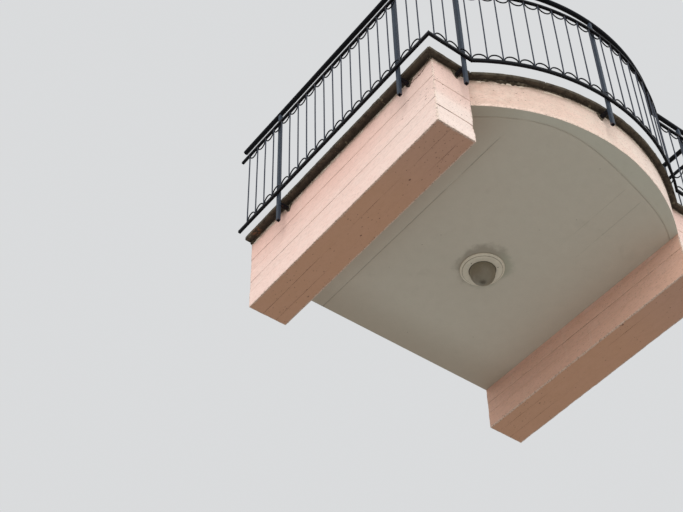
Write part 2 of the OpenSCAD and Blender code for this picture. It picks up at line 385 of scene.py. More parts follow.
@dataclass
class Block:
    """A box cut into small cells, ready to be roughened and bent into place."""

    points: Array
    faces: list[list[int]]
    normals: dict[tuple[int, int], Array]
    side_of: list[tuple[int, int]]
    edge: Array

    @classmethod
    def cut(cls, xs: Array, ys: Array, zs: Array) -> "Block":
        """Makes the skin of a box from the lines that cut it.

        Args:
            xs, ys, zs: rising positions of the cuts along each axis.

        Returns:
            The block, with its points and their distance from the nearest edge.
        """
        axes = (xs, ys, zs)
        n = [len(a) for a in axes]
        skin = np.ones(n, bool)
        skin[1:-1, 1:-1, 1:-1] = False
        number = np.full(n, -1)
        number[skin] = np.arange(skin.sum())
        index = np.argwhere(skin)
        points = np.stack([axes[a][index[:, a]] for a in range(3)], axis=1)
        normals, faces, side_of = {}, [], []
        for a in range(3):
            for end, sign in ((0, -1), (n[a] - 1, 1)):
                normals[a, sign] = index[:, a] == end
                plane = np.moveaxis(number, [a, (a + 1) % 3, (a + 2) % 3], [0, 1, 2])[end]
                q = [plane[:-1, :-1], plane[1:, :-1], plane[1:, 1:], plane[:-1, 1:]]
                quads = np.stack([x.ravel() for x in q[::sign]], 1)
                faces += quads.tolist()
                side_of += [(a, sign)] * len(quads)
        low, high = points.min(0), points.max(0)
        gaps = np.sort(np.hstack([points - low, high - points]), axis=1)
        return cls(points, faces, normals, side_of, gaps[:, 1])

    def push(self, side: tuple[int, int], amount: Array) -> None:
        """Moves the points on one side outwards, each by its own amount."""
        axis, sign = side
        self.points[:, axis] += np.where(self.normals[side], sign * amount, 0)

    def round_off(self, radius: Array | float) -> None:
        """Wears the edges down.

        Args:
            radius: how far from the edge the wear reaches, at every point.
        """
        radius = np.broadcast_to(radius, len(self.points))
        depth = np.clip(radius - self.edge, 0, None) ** 2 / (3.4 * radius)
        for side in self.normals:
            self.push(side, -depth)


def cuts(low: float, high: float, step: float, fine: Iterable[float] = ()) -> Array:
    """Positions that cut a length into cells, closer together near its ends.

    Args:
        low, high: ends of the length.
        step: size of the cells in between.
        fine: further positions that get a cut.

    Returns:
        The rising positions.
    """
    ends = [0.0, 0.0025, 0.006, 0.012]
    inner = np.linspace(low + 0.02, high - 0.02, max(2, round((high - low) / step)))
    every = sorted([low + e for e in ends] + [high - e for e in ends] + list(fine))
    spare = [x for x in inner if min(abs(x - e) for e in every) > 0.3 * step]
    return np.array(sorted(every + spare))


def unit(rows: Array) -> Array:
    """The same directions with a length of 1."""
    return rows / np.linalg.norm(rows, axis=1)[:, None]


def sideways(path: Array) -> Array:
    """Outward vectors of a plan line, longer at its corners.

    Args:
        path: plan points, running anticlockwise round the balcony's inside.

    Returns:
        One vector per point, such that a bar swept along keeps its width.
    """
    step = unit(np.diff(path, axis=0))
    before, after = np.vstack([step[:1], step]), np.vstack([step, step[-1:]])
    along = unit(before + after)
    across = np.stack([along[:, 1], -along[:, 0]], axis=1)
    return across / np.sum(along * after, axis=1)[:, None]


def ring_section(radius: float, count: int) -> Array:
    """Points of a round section, as (sideways, up) pairs."""
    a = np.arange(count) * 2 * math.pi / count
    return radius * np.stack([np.cos(a), np.sin(a)], axis=1)


def square_section(half: float, corner: float, tall: float | None = None) -> Array:
    """Points of a square or upright section with rounded corners.

    Args:
        half: half its width.
        corner: radius of its corners.
        tall: half its height, where that is another one.

    Returns:
        (sideways, up) pairs, anticlockwise.
    """
    rows = []
    for quarter in range(4):
        for i in range(4):
            a = (quarter + i / 3) * math.pi / 2
            x = (half - corner) * (1 if quarter in (0, 3) else -1)
            y = ((tall or half) - corner) * (1 if quarter < 2 else -1)
            rows.append((x + corner * math.cos(a), y + corner * math.sin(a)))
    return np.array(rows)


def tube_faces(rings: int, count: int, ends: str = "closed") -> list[list[int]]:
    """Faces of a tube made of rings of points.

    Args:
        rings: number of rings.
        count: number of points in each ring.
        ends: "closed", "open", or "joined" where the tube runs back into itself.

    Returns:
        Corner numbers of the faces.
    """
    faces, size = [], rings * count
    for a in range(0, size if ends == "joined" else size - count, count):
        b = (a + count) % size
        for i in range(count):
            j = (i + 1) % count
            faces.append([a + i, b + i, b + j, a + j])
    if ends == "closed":
        faces.append(list(range(count)))
        faces.append(list(range(size - count, size))[::-1])
    return faces


def lathe(profile: Sequence, count: int) -> tuple[Array, list[list[int]]]:
    """Turns a closed profile round the Z axis.

    Args:
        profile: (radius, height) pairs. One that starts and ends on the axis, at a
            radius of 0, gives a solid; any other is joined up to a ring.
        count: number of segments.

    Returns:
        Points and faces.
    """
    rows = [(float(r), float(z)) for r, z in profile]
    solid = rows[0][0] == 0
    tips = [rows[0][1], rows[-1][1]] if solid else []
    rows = rows[1:-1] if solid else rows
    points = [np.column_stack([ring_section(r, count), np.full(count, z)]) for r, z in rows]
    faces = tube_faces(len(rows), count, "open" if solid else "joined")
    if solid:
        points.append(np.array([(0.0, 0.0, z) for z in tips]))
        top = len(rows) * count
        pairs = [(i, (i + 1) % count) for i in range(count)]
        faces += [[top, i, j] for i, j in pairs]
        faces += [[top + 1, top - count + j, top - count + i] for i, j in pairs]
    return np.vstack(points), faces


def lump(centre: Sequence[float], size: Sequence[float], seed: int) -> tuple:
    """A small rough blob, such as a weld or a dab of mortar.

    Args:
        centre: its middle.
        size: half its length along each axis.
        seed: picks its shape.

    Returns:
        Points and faces.
    """
    rings, count = 6, 10
    rows = []
    for r in range(rings + 1):
        polar = math.pi * (0.02 + 0.96 * r / rings)
        ring = ring_section(math.sin(polar), count)
        rows.append(np.column_stack([ring, np.full(count, math.cos(polar))]))
    ball = np.vstack(rows)
    bumpy = 1 + 0.22 * rough(ball + seed * 3.1, 0.8, seed, 2)
    points = ball * bumpy[:, None] * np.asarray(size) + np.asarray(centre)
    return points, tube_faces(rings + 1, count)


# Finishes

Value = "Wire | Socket | float | Sequence[float]"


class Wire:
    """Value that one shader node puts out and that others reckon with."""

    def __init__(self, graph: Graph, socket: Socket) -> None:
        """Holds an output socket and the graph that it belongs to."""
        self.graph, self.socket = graph, socket

    def __add__(self, other: Value) -> Wire:
        """The sum with another value."""
        return self.graph.math("ADD", self, other)

    def __sub__(self, other: Value) -> Wire:
        """This value less another one."""
        return self.graph.math("SUBTRACT", self, other)

    def __rsub__(self, other: float) -> Wire:
        """A number less this value."""
        return self.graph.math("SUBTRACT", other, self)

    def __mul__(self, other: Value) -> Wire:
        """The product with another value."""
        return self.graph.math("MULTIPLY", self, other)

    def __abs__(self) -> Wire:
        """The value without its sign."""
        return self.graph.math("ABSOLUTE", self)

    def max(self, other: Value) -> Wire:
        """The larger one of this value and another."""
        return self.graph.math("MAXIMUM", self, other)

    def below(self, limit: Value) -> Wire:
        """1 where the value is less than a limit, and 0 elsewhere."""
        return self.graph.math("LESS_THAN", self, limit)


class Graph:
    """Places and links the shader nodes of one material or group."""

    def __init__(self, tree: Tree) -> None:
        """Takes the tree that the nodes go into."""
        self.tree = tree
        self.placed = 0

    def node(self, kind: str, **settings: object) -> Node:
        """Places a node.

        Args:
            kind: its type without the leading "ShaderNode".
            **settings: properties to set on it.

        Returns:
            The node.
        """
        made = self.tree.nodes.new("ShaderNode" + kind)
        made.location = (self.placed % 12 * 190, -(self.placed // 12) * 260)
        self.placed += 1
        for key, value in settings.items():
            setattr(made, key, value)
        return made

    def put(self, socket: Socket, value: Value) -> None:
        """Links a socket to a value, or sets it.

        Args:
            socket: the input.
            value: a wire, another socket, a number or a row of numbers.
        """
        if isinstance(value, (Wire, Socket)):
            self.tree.links.new(getattr(value, "socket", value), socket)
        elif isinstance(value, (int, float)):
            socket.default_value = value
        else:
            row = list(value)
            wide = len(socket.default_value)
            socket.default_value = (row + [1.0])[:wide] if len(row) < wide else row

    def use(self, kind: str, *terms: Value | None, out: int | str = 0, **settings: object) -> Wire:
        """Value that a new node puts out.

        Args:
            kind: its type without the leading "ShaderNode".
            *terms: values of its first inputs; None leaves an input as it is.
            out: number or name of its output.
            **settings: properties to set on it.

        Returns:
            The value.
        """
        made = self.node(kind, **settings)
        for socket, value in zip(made.inputs, terms):
            if value is not None:
                self.put(socket, value)
        return Wire(self, made.outputs[out])

    def math(self, kind: str, *terms: Value, clamp: bool = False) -> Wire:
        """Result of a math node."""
        return self.use("Math", *terms, operation=kind, use_clamp=clamp)

    def vector(self, kind: str, *terms: Value) -> Wire:
        """Result of a vector math node."""
        out = 1 if kind in ("LENGTH", "DISTANCE") else 0
        return self.use("VectorMath", *terms, out=out, operation=kind)

    def blend(self, share: Value, first: Value, second: Value, kind: str = "MIX") -> Wire:
        """Colour between two others: the first at a share of 0, the second at 1."""
        return self.use("Mix", share, *[None] * 5, first, second, out=2, data_type="RGBA",
                        blend_type=kind)

    def step(self, value: Value, low: Value, high: Value) -> Wire:
        """Smooth rise from 0 at `low` to 1 at `high`; it may also fall."""
        return self.use("MapRange", value, low, high, interpolation_type="SMOOTHSTEP")

    def noise(self, at: Value, scale: Value, detail: float = 4, harsh: float = 0.55) -> Wire:
        """Noise around 0.5: features per metre, finer layers and their weight."""
        return self.use("TexNoise", at, None, scale, detail, harsh)

    def attribute(self, name: str) -> Wire:
        """Named value that the mesh carries at its points."""
        return self.use("Attribute", out="Fac", attribute_name=name)

    def parts(self, vector: Value) -> list[Wire]:
        """The X, Y and Z of a vector."""
        n = self.use("SeparateXYZ", vector).socket.node
        return [Wire(self, socket) for socket in n.outputs]

    def normal(self, axis: int) -> Wire:
        """How far the surface faces along an axis, from -1 to 1."""
        return self.parts(self.use("NewGeometry", out="Normal"))[axis]

    def facing(self, axis: int, sign: int) -> Wire:
        """1 where the surface faces along an axis, and 0 elsewhere."""
        return self.step(self.normal(axis) * float(sign), 0.45, 0.75)


def effect(name: str, fill: Callable[..., Wire], **inputs: float) -> Tree:
    """Builds a group for an effect that several finishes share.

    Args:
        name: the group's name.
        fill: places its nodes, and returns the value that it puts out.
        **inputs: its inputs after the place on the piece, with their first values.

    Returns:
        The group.
    """
    tree = bpy.data.node_groups.new(name, "ShaderNodeTree")
    new = tree.interface.new_socket
    new("Place", in_out="INPUT", socket_type="NodeSocketVector")
    for key, value in inputs.items():
        new(key, in_out="INPUT", socket_type="NodeSocketFloat").default_value = value
    new("Value", in_out="OUTPUT", socket_type="NodeSocketFloat")
    graph = Graph(tree)
    source, sink = tree.nodes.new("NodeGroupInput"), tree.nodes.new("NodeGroupOutput")
    given = [Wire(graph, socket) for socket in source.outputs[:len(inputs) + 1]]
    graph.put(sink.inputs[0], fill(graph, *given))
    return tree


class Effects:
    """The shader groups that the finishes share, each built once."""

    def __init__(self) -> None:
        """Builds the groups."""
        self.mottle = effect("Mottling", self._mottle, Scale=3.0, Contrast=1.0)
        self.pits = effect("Pits", self._pits, Scale=40.0, Size=0.12, Share=0.3)
        self.runs = effect("Rain runs", self._runs, Scale=9.0, Cover=0.5)
        self.relief = effect("Surface relief", self._relief, Coarse=12.0, Fine=160.0, Share=0.4)
        self.worn_edge = effect("Worn edge", self._worn_edge, Edge=0.0, Scale=45.0, Cover=0.5)
        self.line = effect("Open line", self._line, Across=0.0, At=0.0, Width=0.002, Open=0.6)

    @staticmethod
    def _mottle(g: Graph, place: Wire, scale: Wire, contrast: Wire) -> Wire:
        """Soft uneven patches of two sizes."""
        both = g.noise(place, scale * 5.3, 5, 0.6) * 0.45 + g.noise(place, scale, 3) * 0.55
        return g.math("ADD", (both - 0.5) * (contrast * 2.6), 0.5, clamp=True)

    @staticmethod
    def _pits(g: Graph, place: Wire, scale: Wire, size: Wire, share: Wire) -> Wire:
        """Small holes strewn over the surface.

        Args:
            g: the group's graph.
            place, scale: position, and number of cells to the metre.
            size, share: width of a hole in its cell, and share of cells with one.

        Returns:
            1 in a hole and 0 elsewhere.
        """
        n = g.use("TexVoronoi", place, None, scale).socket.node
        red, green, _ = g.parts(n.outputs["Color"])
        size = size * (green + 0.4)
        return g.step(n.outputs["Distance"], size, size * 0.55) * red.below(share)

    @staticmethod
    def _runs(g: Graph, place: Wire, scale: Wire, cover: Wire) -> Wire:
        """Upright stains, as rain leaves them."""
        streaks = g.noise(g.vector("MULTIPLY", place, (1.0, 1.0, 0.09)), scale, 4, 0.6)
        return g.step(streaks, 1.0 - cover, 1.18 - cover)

    @staticmethod
    def _relief(g: Graph, place: Wire, coarse: Wire, fine: Wire, share: Wire) -> Wire:
        """Height of a rough surface with coarse and fine unevenness."""
        return g.use("Mix", share, None, g.noise(place, coarse, 4), g.noise(place, fine, 3, 0.65),
                     data_type="FLOAT")

    @staticmethod
    def _worn_edge(g: Graph, place: Wire, edge: Wire, scale: Wire, cover: Wire) -> Wire:
        """Edges where the surface has been knocked off here and there."""
        broken = g.noise(place, scale, 3, 0.6)
        return g.step(edge * cover + broken, 0.74, 0.92) * edge

    @staticmethod
    def _line(g: Graph, place: Wire, across: Wire, at: Wire, width: Wire, open_: Wire) -> Wire:
        """Fine line whose width varies and which closes here and there.

        Args:
            g: the group's graph.
            place: position, which picks where it is wide.
            across, at: distance across it, and where it lies.
            width, open_: half its width, and share of it that is open.

        Returns:
            1 in the line and 0 elsewhere.
        """
        wavy = g.noise(place, 5.0, 3) * 0.006 - 0.003
        uneven = g.noise(place, 23.0, 4, 0.7) * 4.6 - 1.5
        half = (uneven * width).max(0.0003)
        closed = 1.0 - open_
        there = g.step(g.noise(place, 3.1, 5, 0.65), closed - 0.05, closed + 0.08)
        return g.step(abs(across + wavy - at), half, half * 0.4) * there


class Surface(Graph):
    """A material in the making, with the shared effects at hand."""

    def __init__(self, name: str, effects: Effects | None = None) -> None:
        """Starts the material with a bare shader.

        Args:
            name: its name.
            effects: the shared shader groups, where it needs them.
        """
        self.material = bpy.data.materials.new(name)
        self.material.use_nodes = True
        super().__init__(self.material.node_tree)
        self.shader = self.tree.nodes["Principled BSDF"]
        self.effects = effects
        self.colour: Value = 1.0
        self.place = self.use("TexCoord", out="Object")

    def lay(self, kind: str, *values: Value, at: Wire | None = None) -> Wire:
        """Value of a shared effect at the place on the piece, or at another one."""
        tree = getattr(self.effects, kind)
        return self.use("Group", at or self.place, *values, node_tree=tree)

    def tint(self, share: Value, other: Value) -> None:
        """Mixes a share of another colour into the surface's own."""
        self.colour = self.blend(share, self.colour, other)

    def coat(self, colour: Value, roughness: Value, shine: float = 0.5, **more: Value) -> None:
        """Sets or links inputs of the shader.

        Args:
            colour: its base colour.
            roughness: its roughness.
            shine: its specular level.
            **more: other inputs, by their names.
        """
        more |= {"Base_Color": colour, "Roughness": roughness, "Specular_IOR_Level": shine}
        for key, value in more.items():
            self.put(self.shader.inputs[key.replace("_", " ")], value)

    def bump(self, height: Value, depth: float, strength: float) -> None:
        """Lets a height shade the surface.

        Args:
            height: the height, from 0 to 1.
            depth: how many metres a height of 1 stands for.
            strength: share of the effect.
        """
        n = self.node("Bump")
        for key, value in (("Strength", strength), ("Distance", depth), ("Height", height)):
            self.put(n.inputs[key], value)
        self.put(self.shader.inputs["Normal"], n.outputs[0])


@dataclass(frozen=True)
class Finish:
    """What every finish does: it paints one material."""

    name: str

    def dress(self, effects: Effects) -> Material:
        """Builds the material.

        Args:
            effects: the shared shader groups.

        Returns:
            The material.
        """
        surface = Surface(self.name, effects)
        self.paint(surface)
        return surface.material

    def paint(self, g: Surface) -> None:
        """Paints the surface."""
        raise NotImplementedError


@dataclass(frozen=True)
class WallPaint(Finish):
    """Salmon wall paint on board-marked concrete, weathered, with painted shade below the coping, on
    faces that look down and on the beams' inner sides.
    """

    name: str = "salmon_wall_paint"
    side: Colour = srgb(243, 215, 203)
    # Pink paint that also stands for painted shade below the coping.
    blush_and_shade: Colour = srgb(238, 194, 179)
    # Painted shade of faces that look down: warm near the wall, as painted light reflected from it, and
    # cooler towards the front.
    foot: Colour = srgb(206, 160, 130)
    underside_shade_front: Colour = srgb(200, 158, 134)
    # Painted shade of the beams' inner sides.
    inner: Colour = srgb(214, 168, 142)
    cream: Colour = srgb(240, 220, 204)
    dusty: Colour = srgb(204, 172, 154)
    bleached: Colour = srgb(245, 232, 222)
    # Dirt below the coping, together with painted shade of its overhang.
    soil_and_shade: Colour = srgb(146, 124, 104)
    # Grime of rain runs, which also paints the shadow right under the coping.
    grime: Colour = srgb(84, 72, 58)
    joint: Colour = srgb(98, 66, 52)
    pit: Colour = srgb(112, 80, 66)
    bare: Colour = srgb(226, 208, 192)
    chip: Colour = srgb(236, 220, 200)
    front_gaps: tuple[float, ...] = (0.0022, 0.0028, 0.0010, 0.0006)

    def paint(self, g: Surface) -> None:
        """Paints the surface.

        Args:
            g: the material in the making.
        """
        x, y, z = g.parts(g.place)
        down, front = g.facing(2, -1), g.facing(1, -1)
        upright = 1.0 - down
        boards = g.vector("MULTIPLY", g.place, (0.5, 0.28, 1.0))
        patches = g.lay("mottle", 2.4, 1.2)
        fine = g.lay("mottle", 30.0, 1.6, at=boards)
        # The paint is pinkest and darkest below the coping, partly as painted shade of its overhang,
        # and palest low down and in front.
        share = g.step(patches * 0.10 + z - 0.05, -0.38, 0.10) * 0.85
        g.colour = g.blend(share, self.side, self.blush_and_shade)
        low = g.step(z, -0.12, -0.28) * 0.75 + 0.25
        ahead = (g.step(y, -1.1, -1.95) * 0.40).max(front * low)
        g.tint(ahead * (fine * 0.4 + 0.62), self.bleached)
        # Painted shade: faces that look down are darkened, and warmer near the wall as painted
        # reflected light.
        g.tint(down, g.blend(g.step(y, -1.2, -1.9), self.foot, self.underside_shade_front))
        # The bowed front is creamier, and dusty towards its left end.
        bay = g.step(abs(x), LAYOUT.bay + 0.004, LAYOUT.bay)
        pale = g.step(z, -0.09, -0.128) * g.step(fine, 0.25, 0.7)
        dust = g.step(x, 0.1, -0.9) * (patches * 0.8 + 0.25) * (1.0 - pale)
        cream = g.blend(g.step(x, -0.1, 0.7) * 0.55, self.cream, self.bleached)
        g.tint(bay * front, g.blend(dust, cream, self.dusty))
        # Painted shade: the inner sides of the beams, under the slab, are darkened.
        shaded_inner_sides = bay * upright * (1.0 - front)
        g.tint(shaded_inner_sides * 0.85, self.inner)
        # Each board took the paint a little differently.
        tone = g.attribute("tone") * 0.07 + 0.965
        g.colour = g.blend(1.0, g.colour, tone, "MULTIPLY")
        g.tint(fine * (upright * 0.22 + 0.08), self.blush_and_shade)
        wash = g.lay("runs", 16.0, 0.46) * upright
        g.tint(wash * 0.12, self.bare)
        grain = g.step(g.noise(boards, 105.0, 4, 0.75), 0.48, 0.66)
        g.tint(grain * (upright * 0.11 + 0.05), self.pit)
        # Dirt and painted shade that fade out below the coping, with pale flakes in it. The dark band
        # right under the coping is painted shadow of its overhang, with grime.
        ragged = g.noise(g.place, 26.0, 5, 0.68) * 0.05 + z
        g.tint(g.step(ragged, 0.098, 0.156) * 0.75, self.soil_and_shade)
        g.tint(g.step(ragged, 0.128, 0.136) * upright * g.step(fine, 0.45, 0.7), self.chip)
        g.tint(g.step(ragged, 0.150, 0.164) * 0.85, self.grime)
        drip = g.lay("runs", 30.0, 0.34) * g.step(z, -0.14, 0.12) * upright
        g.tint(drip * 0.20, self.grime)
        # Joints, pits and chipped arrises.
        gap = self._gaps(g, boards, front, down)
        closing = g.step(abs(x), LAYOUT.half_width, LAYOUT.bay)
        faint = front * (closing * -0.55 - 0.05) + 0.90
        g.tint(gap * faint, self.joint)
        holes = self._holes(g, boards)
        g.tint(holes * 0.85, self.pit)
        arris = g.attribute("edge")
        g.tint(g.lay("worn_edge", arris, 38.0, 0.52) * 0.6, self.bare)
        nick = arris * g.step(g.noise(g.place, 85.0, 3, 0.6), 0.54, 0.60)
        g.tint(nick * 0.55, self.pit)
        # Scuffs and dark specks, thickest on the front ends.
        drawn = g.vector("MULTIPLY", g.place, (1.0, 1.0, 2.2))
        scuff = g.step(g.noise(drawn, 55.0, 4, 0.7), 0.60, 0.68) * upright
        close = g.step(y, -1.55, -2.0) * 0.16 + front * 0.20 + 0.05
        g.tint(scuff * close, self.pit)
        relief = g.lay("relief", 16.0, 220.0, 0.35, at=boards)
        g.coat(g.colour, fine * 0.14 + 0.8, 0.2)
        g.bump(relief - holes * 0.5 - gap * 0.5, 0.004, 0.7)

    def _gaps(self, g: Surface, boards: Wire, front: Wire, down: Wire) -> Wire:
        """Open joints between the boards, and one long crack.

        Args:
            g: the material in the making.
            boards: position on the piece, drawn out along the boards.
            front, down: 1 where the surface faces the front or the ground.

        Returns:
            How open the surface is, from 0 to 1.
        """
        x, y, z = g.parts(g.place)
        beam = g.step(abs(x), LAYOUT.bay - 0.002, LAYOUT.bay + 0.001)
        side = 1.0 - front - down
        rows = [(z, at, 0.0013, 0.62, side) for at in LAYOUT.board_joints]
        rows += [(z, at, width, 0.66, front)
                 for at, width in zip(LAYOUT.front_joints, self.front_gaps)]
        rows += [(abs(x), at, 0.0011, 0.50, down) for at in LAYOUT.foot_joints]
        total = reduce(Wire.max, [g.lay("line", *row[:4], at=boards) * row[4] for row in rows])
        # The crack climbs from under a bracket to the upper front corner.
        rise = g.step(y, -1.92, -2.03) * 0.045 + 0.086
        zigzag = g.noise(g.place, 34.0, 3, 0.7) * 0.034 - 0.017
        wide = g.noise(g.place, 60.0, 3) * 0.0090 + 0.0016
        crack = g.step(abs(z + zigzag - rise), wide, wide * 0.5) * x.below(0.0)
        return total.max(crack * g.step(y, -1.79, -1.82) * side) * beam

    @staticmethod
    def _holes(g: Surface, boards: Wire) -> Wire:
        """Small pits in clusters, most of them towards the front.

        Args:
            g: the material in the making.
            boards: position on the piece, drawn out along the boards.

        Returns:
            1 in a pit and 0 elsewhere.
        """
        crowd = g.step(g.noise(boards, 6.5, 4, 0.6), 0.46, 0.62)
        crowd = g.step(g.parts(boards)[1], -0.40, -0.55) * 0.7 + crowd
        hole = g.lay("pits", 44.0, 0.13, crowd * 0.30 + 0.05, at=boards)
        return hole.max(g.lay("pits", 125.0, 0.22, crowd * 0.40 + 0.10, at=boards) * 0.6)


@dataclass(frozen=True)
class SoffitPaint(Finish):
    """Grey paint on the slab's smooth underside, smudged, with painted shade near the wall and the left
    beam and a painted shadow round the lamp.
    """

    name: str = "soffit_grey_paint"
    body: Colour = srgb(208, 200, 184)
    rim: Colour = srgb(206, 203, 187)
    smudge: Colour = srgb(150, 142, 126)
    # Painted shade near the wall and the left beam.
    stain: Colour = srgb(158, 138, 116)
    # Soot, which also paints the lamp's shadow round it.
    soot_and_shadow: Colour = srgb(104, 92, 76)
    green: Colour = srgb(138, 146, 122)
    line: Colour = srgb(112, 106, 94)
    # Middle of the soot and painted shadow round the lamp.
    shadow_and_soot_centre: Point = (LAYOUT.lamp_x - 0.012, LAYOUT.lamp_y - 0.034)

    def paint(self, g: Surface) -> None:
        """Paints the surface.

        Args:
            g: the material in the making.
        """
        x, y, _ = g.parts(g.place)
        soft = g.lay("mottle", 1.7, 1.1)
        fine = g.lay("mottle", 13.0, 1.3)
        g.colour = g.blend(g.attribute("rim"), self.body, self.rim)
        g.tint(soft * 0.30, self.rim)
        g.tint(g.step(g.noise(g.place, 5.0, 5, 0.62), 0.60, 0.78) * 0.14, self.smudge)
        # Painted shade: darker towards the wall and the left beam.
        g.tint(g.step(y, -0.45, 0.0).max(g.step(x, -0.50, -0.95)) * 0.42, self.stain)
        g.tint(fine * 0.08, self.smudge)
        # Soot and the lamp's painted shadow round the lamp, thicker on the side away from the wall.
        flat = g.vector("MULTIPLY", g.place, (1.0, 1.0, 0.0))
        away = g.vector("SUBTRACT", flat, (*self.shadow_and_soot_centre, 0.0))
        wobble = g.noise(g.place, 9.0, 5, 0.62) * 0.16 - 0.08
        shadow_and_soot_halo = g.step(g.vector("LENGTH", away) + wobble, 0.232, 0.160)
        tint = g.blend(g.step(g.parts(away)[0], -0.05, 0.12), self.soot_and_shadow, self.green)
        g.tint(shadow_and_soot_halo * 0.42, tint)
        line = g.attribute("seam") * g.step(g.noise(g.place, 4.0, 4, 0.6), 0.32, 0.52)
        g.tint(line * 0.62, self.line)
        g.tint(g.lay("pits", 21.0, 0.07, 0.10) * 0.6, self.soot_and_shadow)
        g.coat(g.colour, fine * 0.16 + 0.74, 0.2)
        g.bump(g.lay("relief", 7.0, 120.0, 0.25), 0.003, 0.5)


@dataclass(frozen=True)
class BareConcrete(Finish):
    """Grey concrete that was never painted, with coarse pores."""

    name: str = "bare_concrete"
    body: Colour = srgb(158, 152, 142)
    dark: Colour = srgb(112, 106, 98)
    pale: Colour = srgb(186, 181, 171)

    def paint(self, g: Surface) -> None:
        """Paints the surface.

        Args:
            g: the material in the making.
        """
        soft = g.lay("mottle", 5.0, 1.5)
        fine = g.lay("mottle", 48.0, 1.8)
        g.colour = g.blend(soft, self.dark, self.body)
        g.tint(fine * 0.4, self.pale)
        holes = g.lay("pits", 44.0, 0.2, 0.4)
        g.tint(holes * 0.8, self.dark)
        g.coat(g.colour, fine * 0.1 + 0.86, 0.2)
        g.bump(g.lay("relief", 22.0, 190.0, 0.5) - holes, 0.005, 0.8)


@dataclass(frozen=True)
class CopingStone(Finish):
    """Dark weathered stone with moss along its rims and lichen on its face, and painted shade on its
    underside.
    """

    name: str = "weathered_coping_stone"
    body: Colour = srgb(97, 88, 76)
    dark: Colour = srgb(58, 50, 42)
    # Painted shade of the underside.
    under: Colour = srgb(50, 43, 36)
    moss: Colour = srgb(118, 108, 92)
    lichen: Colour = srgb(158, 152, 128)
    rust: Colour = srgb(150, 100, 66)
    top: Colour = srgb(138, 130, 116)

    def paint(self, g: Surface) -> None:
        """Paints the surface.

        Args:
            g: the material in the making.
        """
        up = g.facing(2, 1)
        soft = g.lay("mottle", 8.0, 1.8)
        fine = g.lay("mottle", 52.0, 1.8)
        g.colour = g.blend(soft, self.dark, self.body)
        g.tint(g.attribute("tone") * 0.30, self.dark)
        g.tint(up * 0.75, self.top)
        # Painted shade: faces that look down are darkened.
        g.tint(g.facing(2, -1) * (soft * 0.4 + 0.60), self.under)
        creep = g.noise(g.place, 19.0, 5, 0.66)
        outer = g.attribute("rim") * g.step(creep, 0.34, 0.56)
        g.tint(outer * 0.42, self.moss)
        rim = g.step(creep * 0.03 + g.parts(g.place)[2], 0.156, 0.174)
        g.tint(rim * g.step(creep, 0.30, 0.50) * (up * -0.45 + 0.85), self.moss)
        lichen = g.lay("pits", 26.0, 0.34, 0.22) * g.step(fine, 0.35, 0.65)
        g.tint(lichen * 0.55, self.lichen)
        # A rusty patch where water runs off beside the wall.
        away = g.vector("DISTANCE", g.place, (-1.30, -0.12, 0.134))
        patch = g.step(away, 0.060, 0.01) * g.step(creep, 0.46, 0.58)
        g.tint(patch * 0.65, self.rust)
        g.tint(fine * 0.22, self.dark)
        g.coat(g.colour, fine * 0.12 + 0.84, 0.25)
        g.bump(g.lay("relief", 34.0, 230.0, 0.4), 0.006, 0.85)


@dataclass(frozen=True)
class Mortar(Finish):
    """Dark ragged mortar in and under the coping."""

    name: str = "dark_mortar"
    body: Colour = srgb(62, 54, 44)
    pale: Colour = srgb(136, 126, 108)

    def paint(self, g: Surface) -> None:
        """Paints the surface.

        Args:
            g: the material in the making.
        """
        fine = g.lay("mottle", 60.0, 2.2)
        share = fine * g.lay("mottle", 9.0, 2.0) * 0.75
        g.coat(g.blend(share, self.body, self.pale), fine * 0.08 + 0.9, 0.15)
        g.bump(g.lay("relief", 70.0, 320.0, 0.5), 0.005, 0.9)


@dataclass(frozen=True)
class FloorTile(Finish):
    """Unglazed clay tile, each fired a little differently."""

    name: str = "clay_floor_tile"
    body: Colour = srgb(168, 132, 108)
    fired: Colour = srgb(142, 108, 88)
    dust: Colour = srgb(184, 168, 148)

    def paint(self, g: Surface) -> None:
        """Paints the surface.

        Args:
            g: the material in the making.
        """
        soft = g.lay("mottle", 6.0, 1.4)
        fine = g.lay("mottle", 70.0, 1.6)
        g.colour = g.blend(g.attribute("tone"), self.body, self.fired)
        g.tint(fine * 0.25, self.fired)
        g.tint(g.step(soft, 0.45, 0.9) * 0.45, self.dust)
        g.tint(g.lay("worn_edge", g.attribute("edge"), 60.0, 0.5) * 0.6, self.dust)
        g.coat(g.colour, soft * 0.25 + 0.5, 0.35)
        g.bump(g.lay("relief", 18.0, 260.0, 0.35), 0.0015, 0.6)


@dataclass(frozen=True)
class IronPaint(Finish):
    """Blue-black paint brushed onto iron, dusty on top with a painted sky reflection there, and rusty
    at the welds.
    """

    body: Colour
    # Chalky paint, which also paints a reflection of the sky on what faces up.
    chalk_and_sky_sheen: Colour = srgb(92, 102, 116)
    rust: Colour = srgb(104, 66, 44)
    gloss: float = 0.44
    shine: float = 0.24
    cloud: float = 0.08

    def paint(self, g: Surface) -> None:
        """Paints the surface.

        Args:
            g: the material in the making.
        """
        fine = g.lay("mottle", 38.0, 1.4)
        soft = g.lay("mottle", 4.0, 1.6)
        # Dust and faded paint on what faces the sky, lightened further as a painted reflection of the
        # sky.
        dust = g.step(g.normal(2), 0.15, 0.95) * (soft * 0.35 + 0.30)
        g.colour = g.blend(dust, self.body, self.chalk_and_sky_sheen)
        g.tint(fine * self.cloud, self.chalk_and_sky_sheen)
        chip = g.lay("worn_edge", g.attribute("edge"), 120.0, 0.40)
        rust = chip.max(g.lay("pits", 60.0, 0.2, 0.03))
        g.tint(rust * 0.65, self.rust)
        g.coat(g.colour, soft * 0.16 + self.gloss + rust * 0.3, self.shine)
        g.bump(g.lay("relief", 90.0, 420.0, 0.3), 0.0008, 0.6)


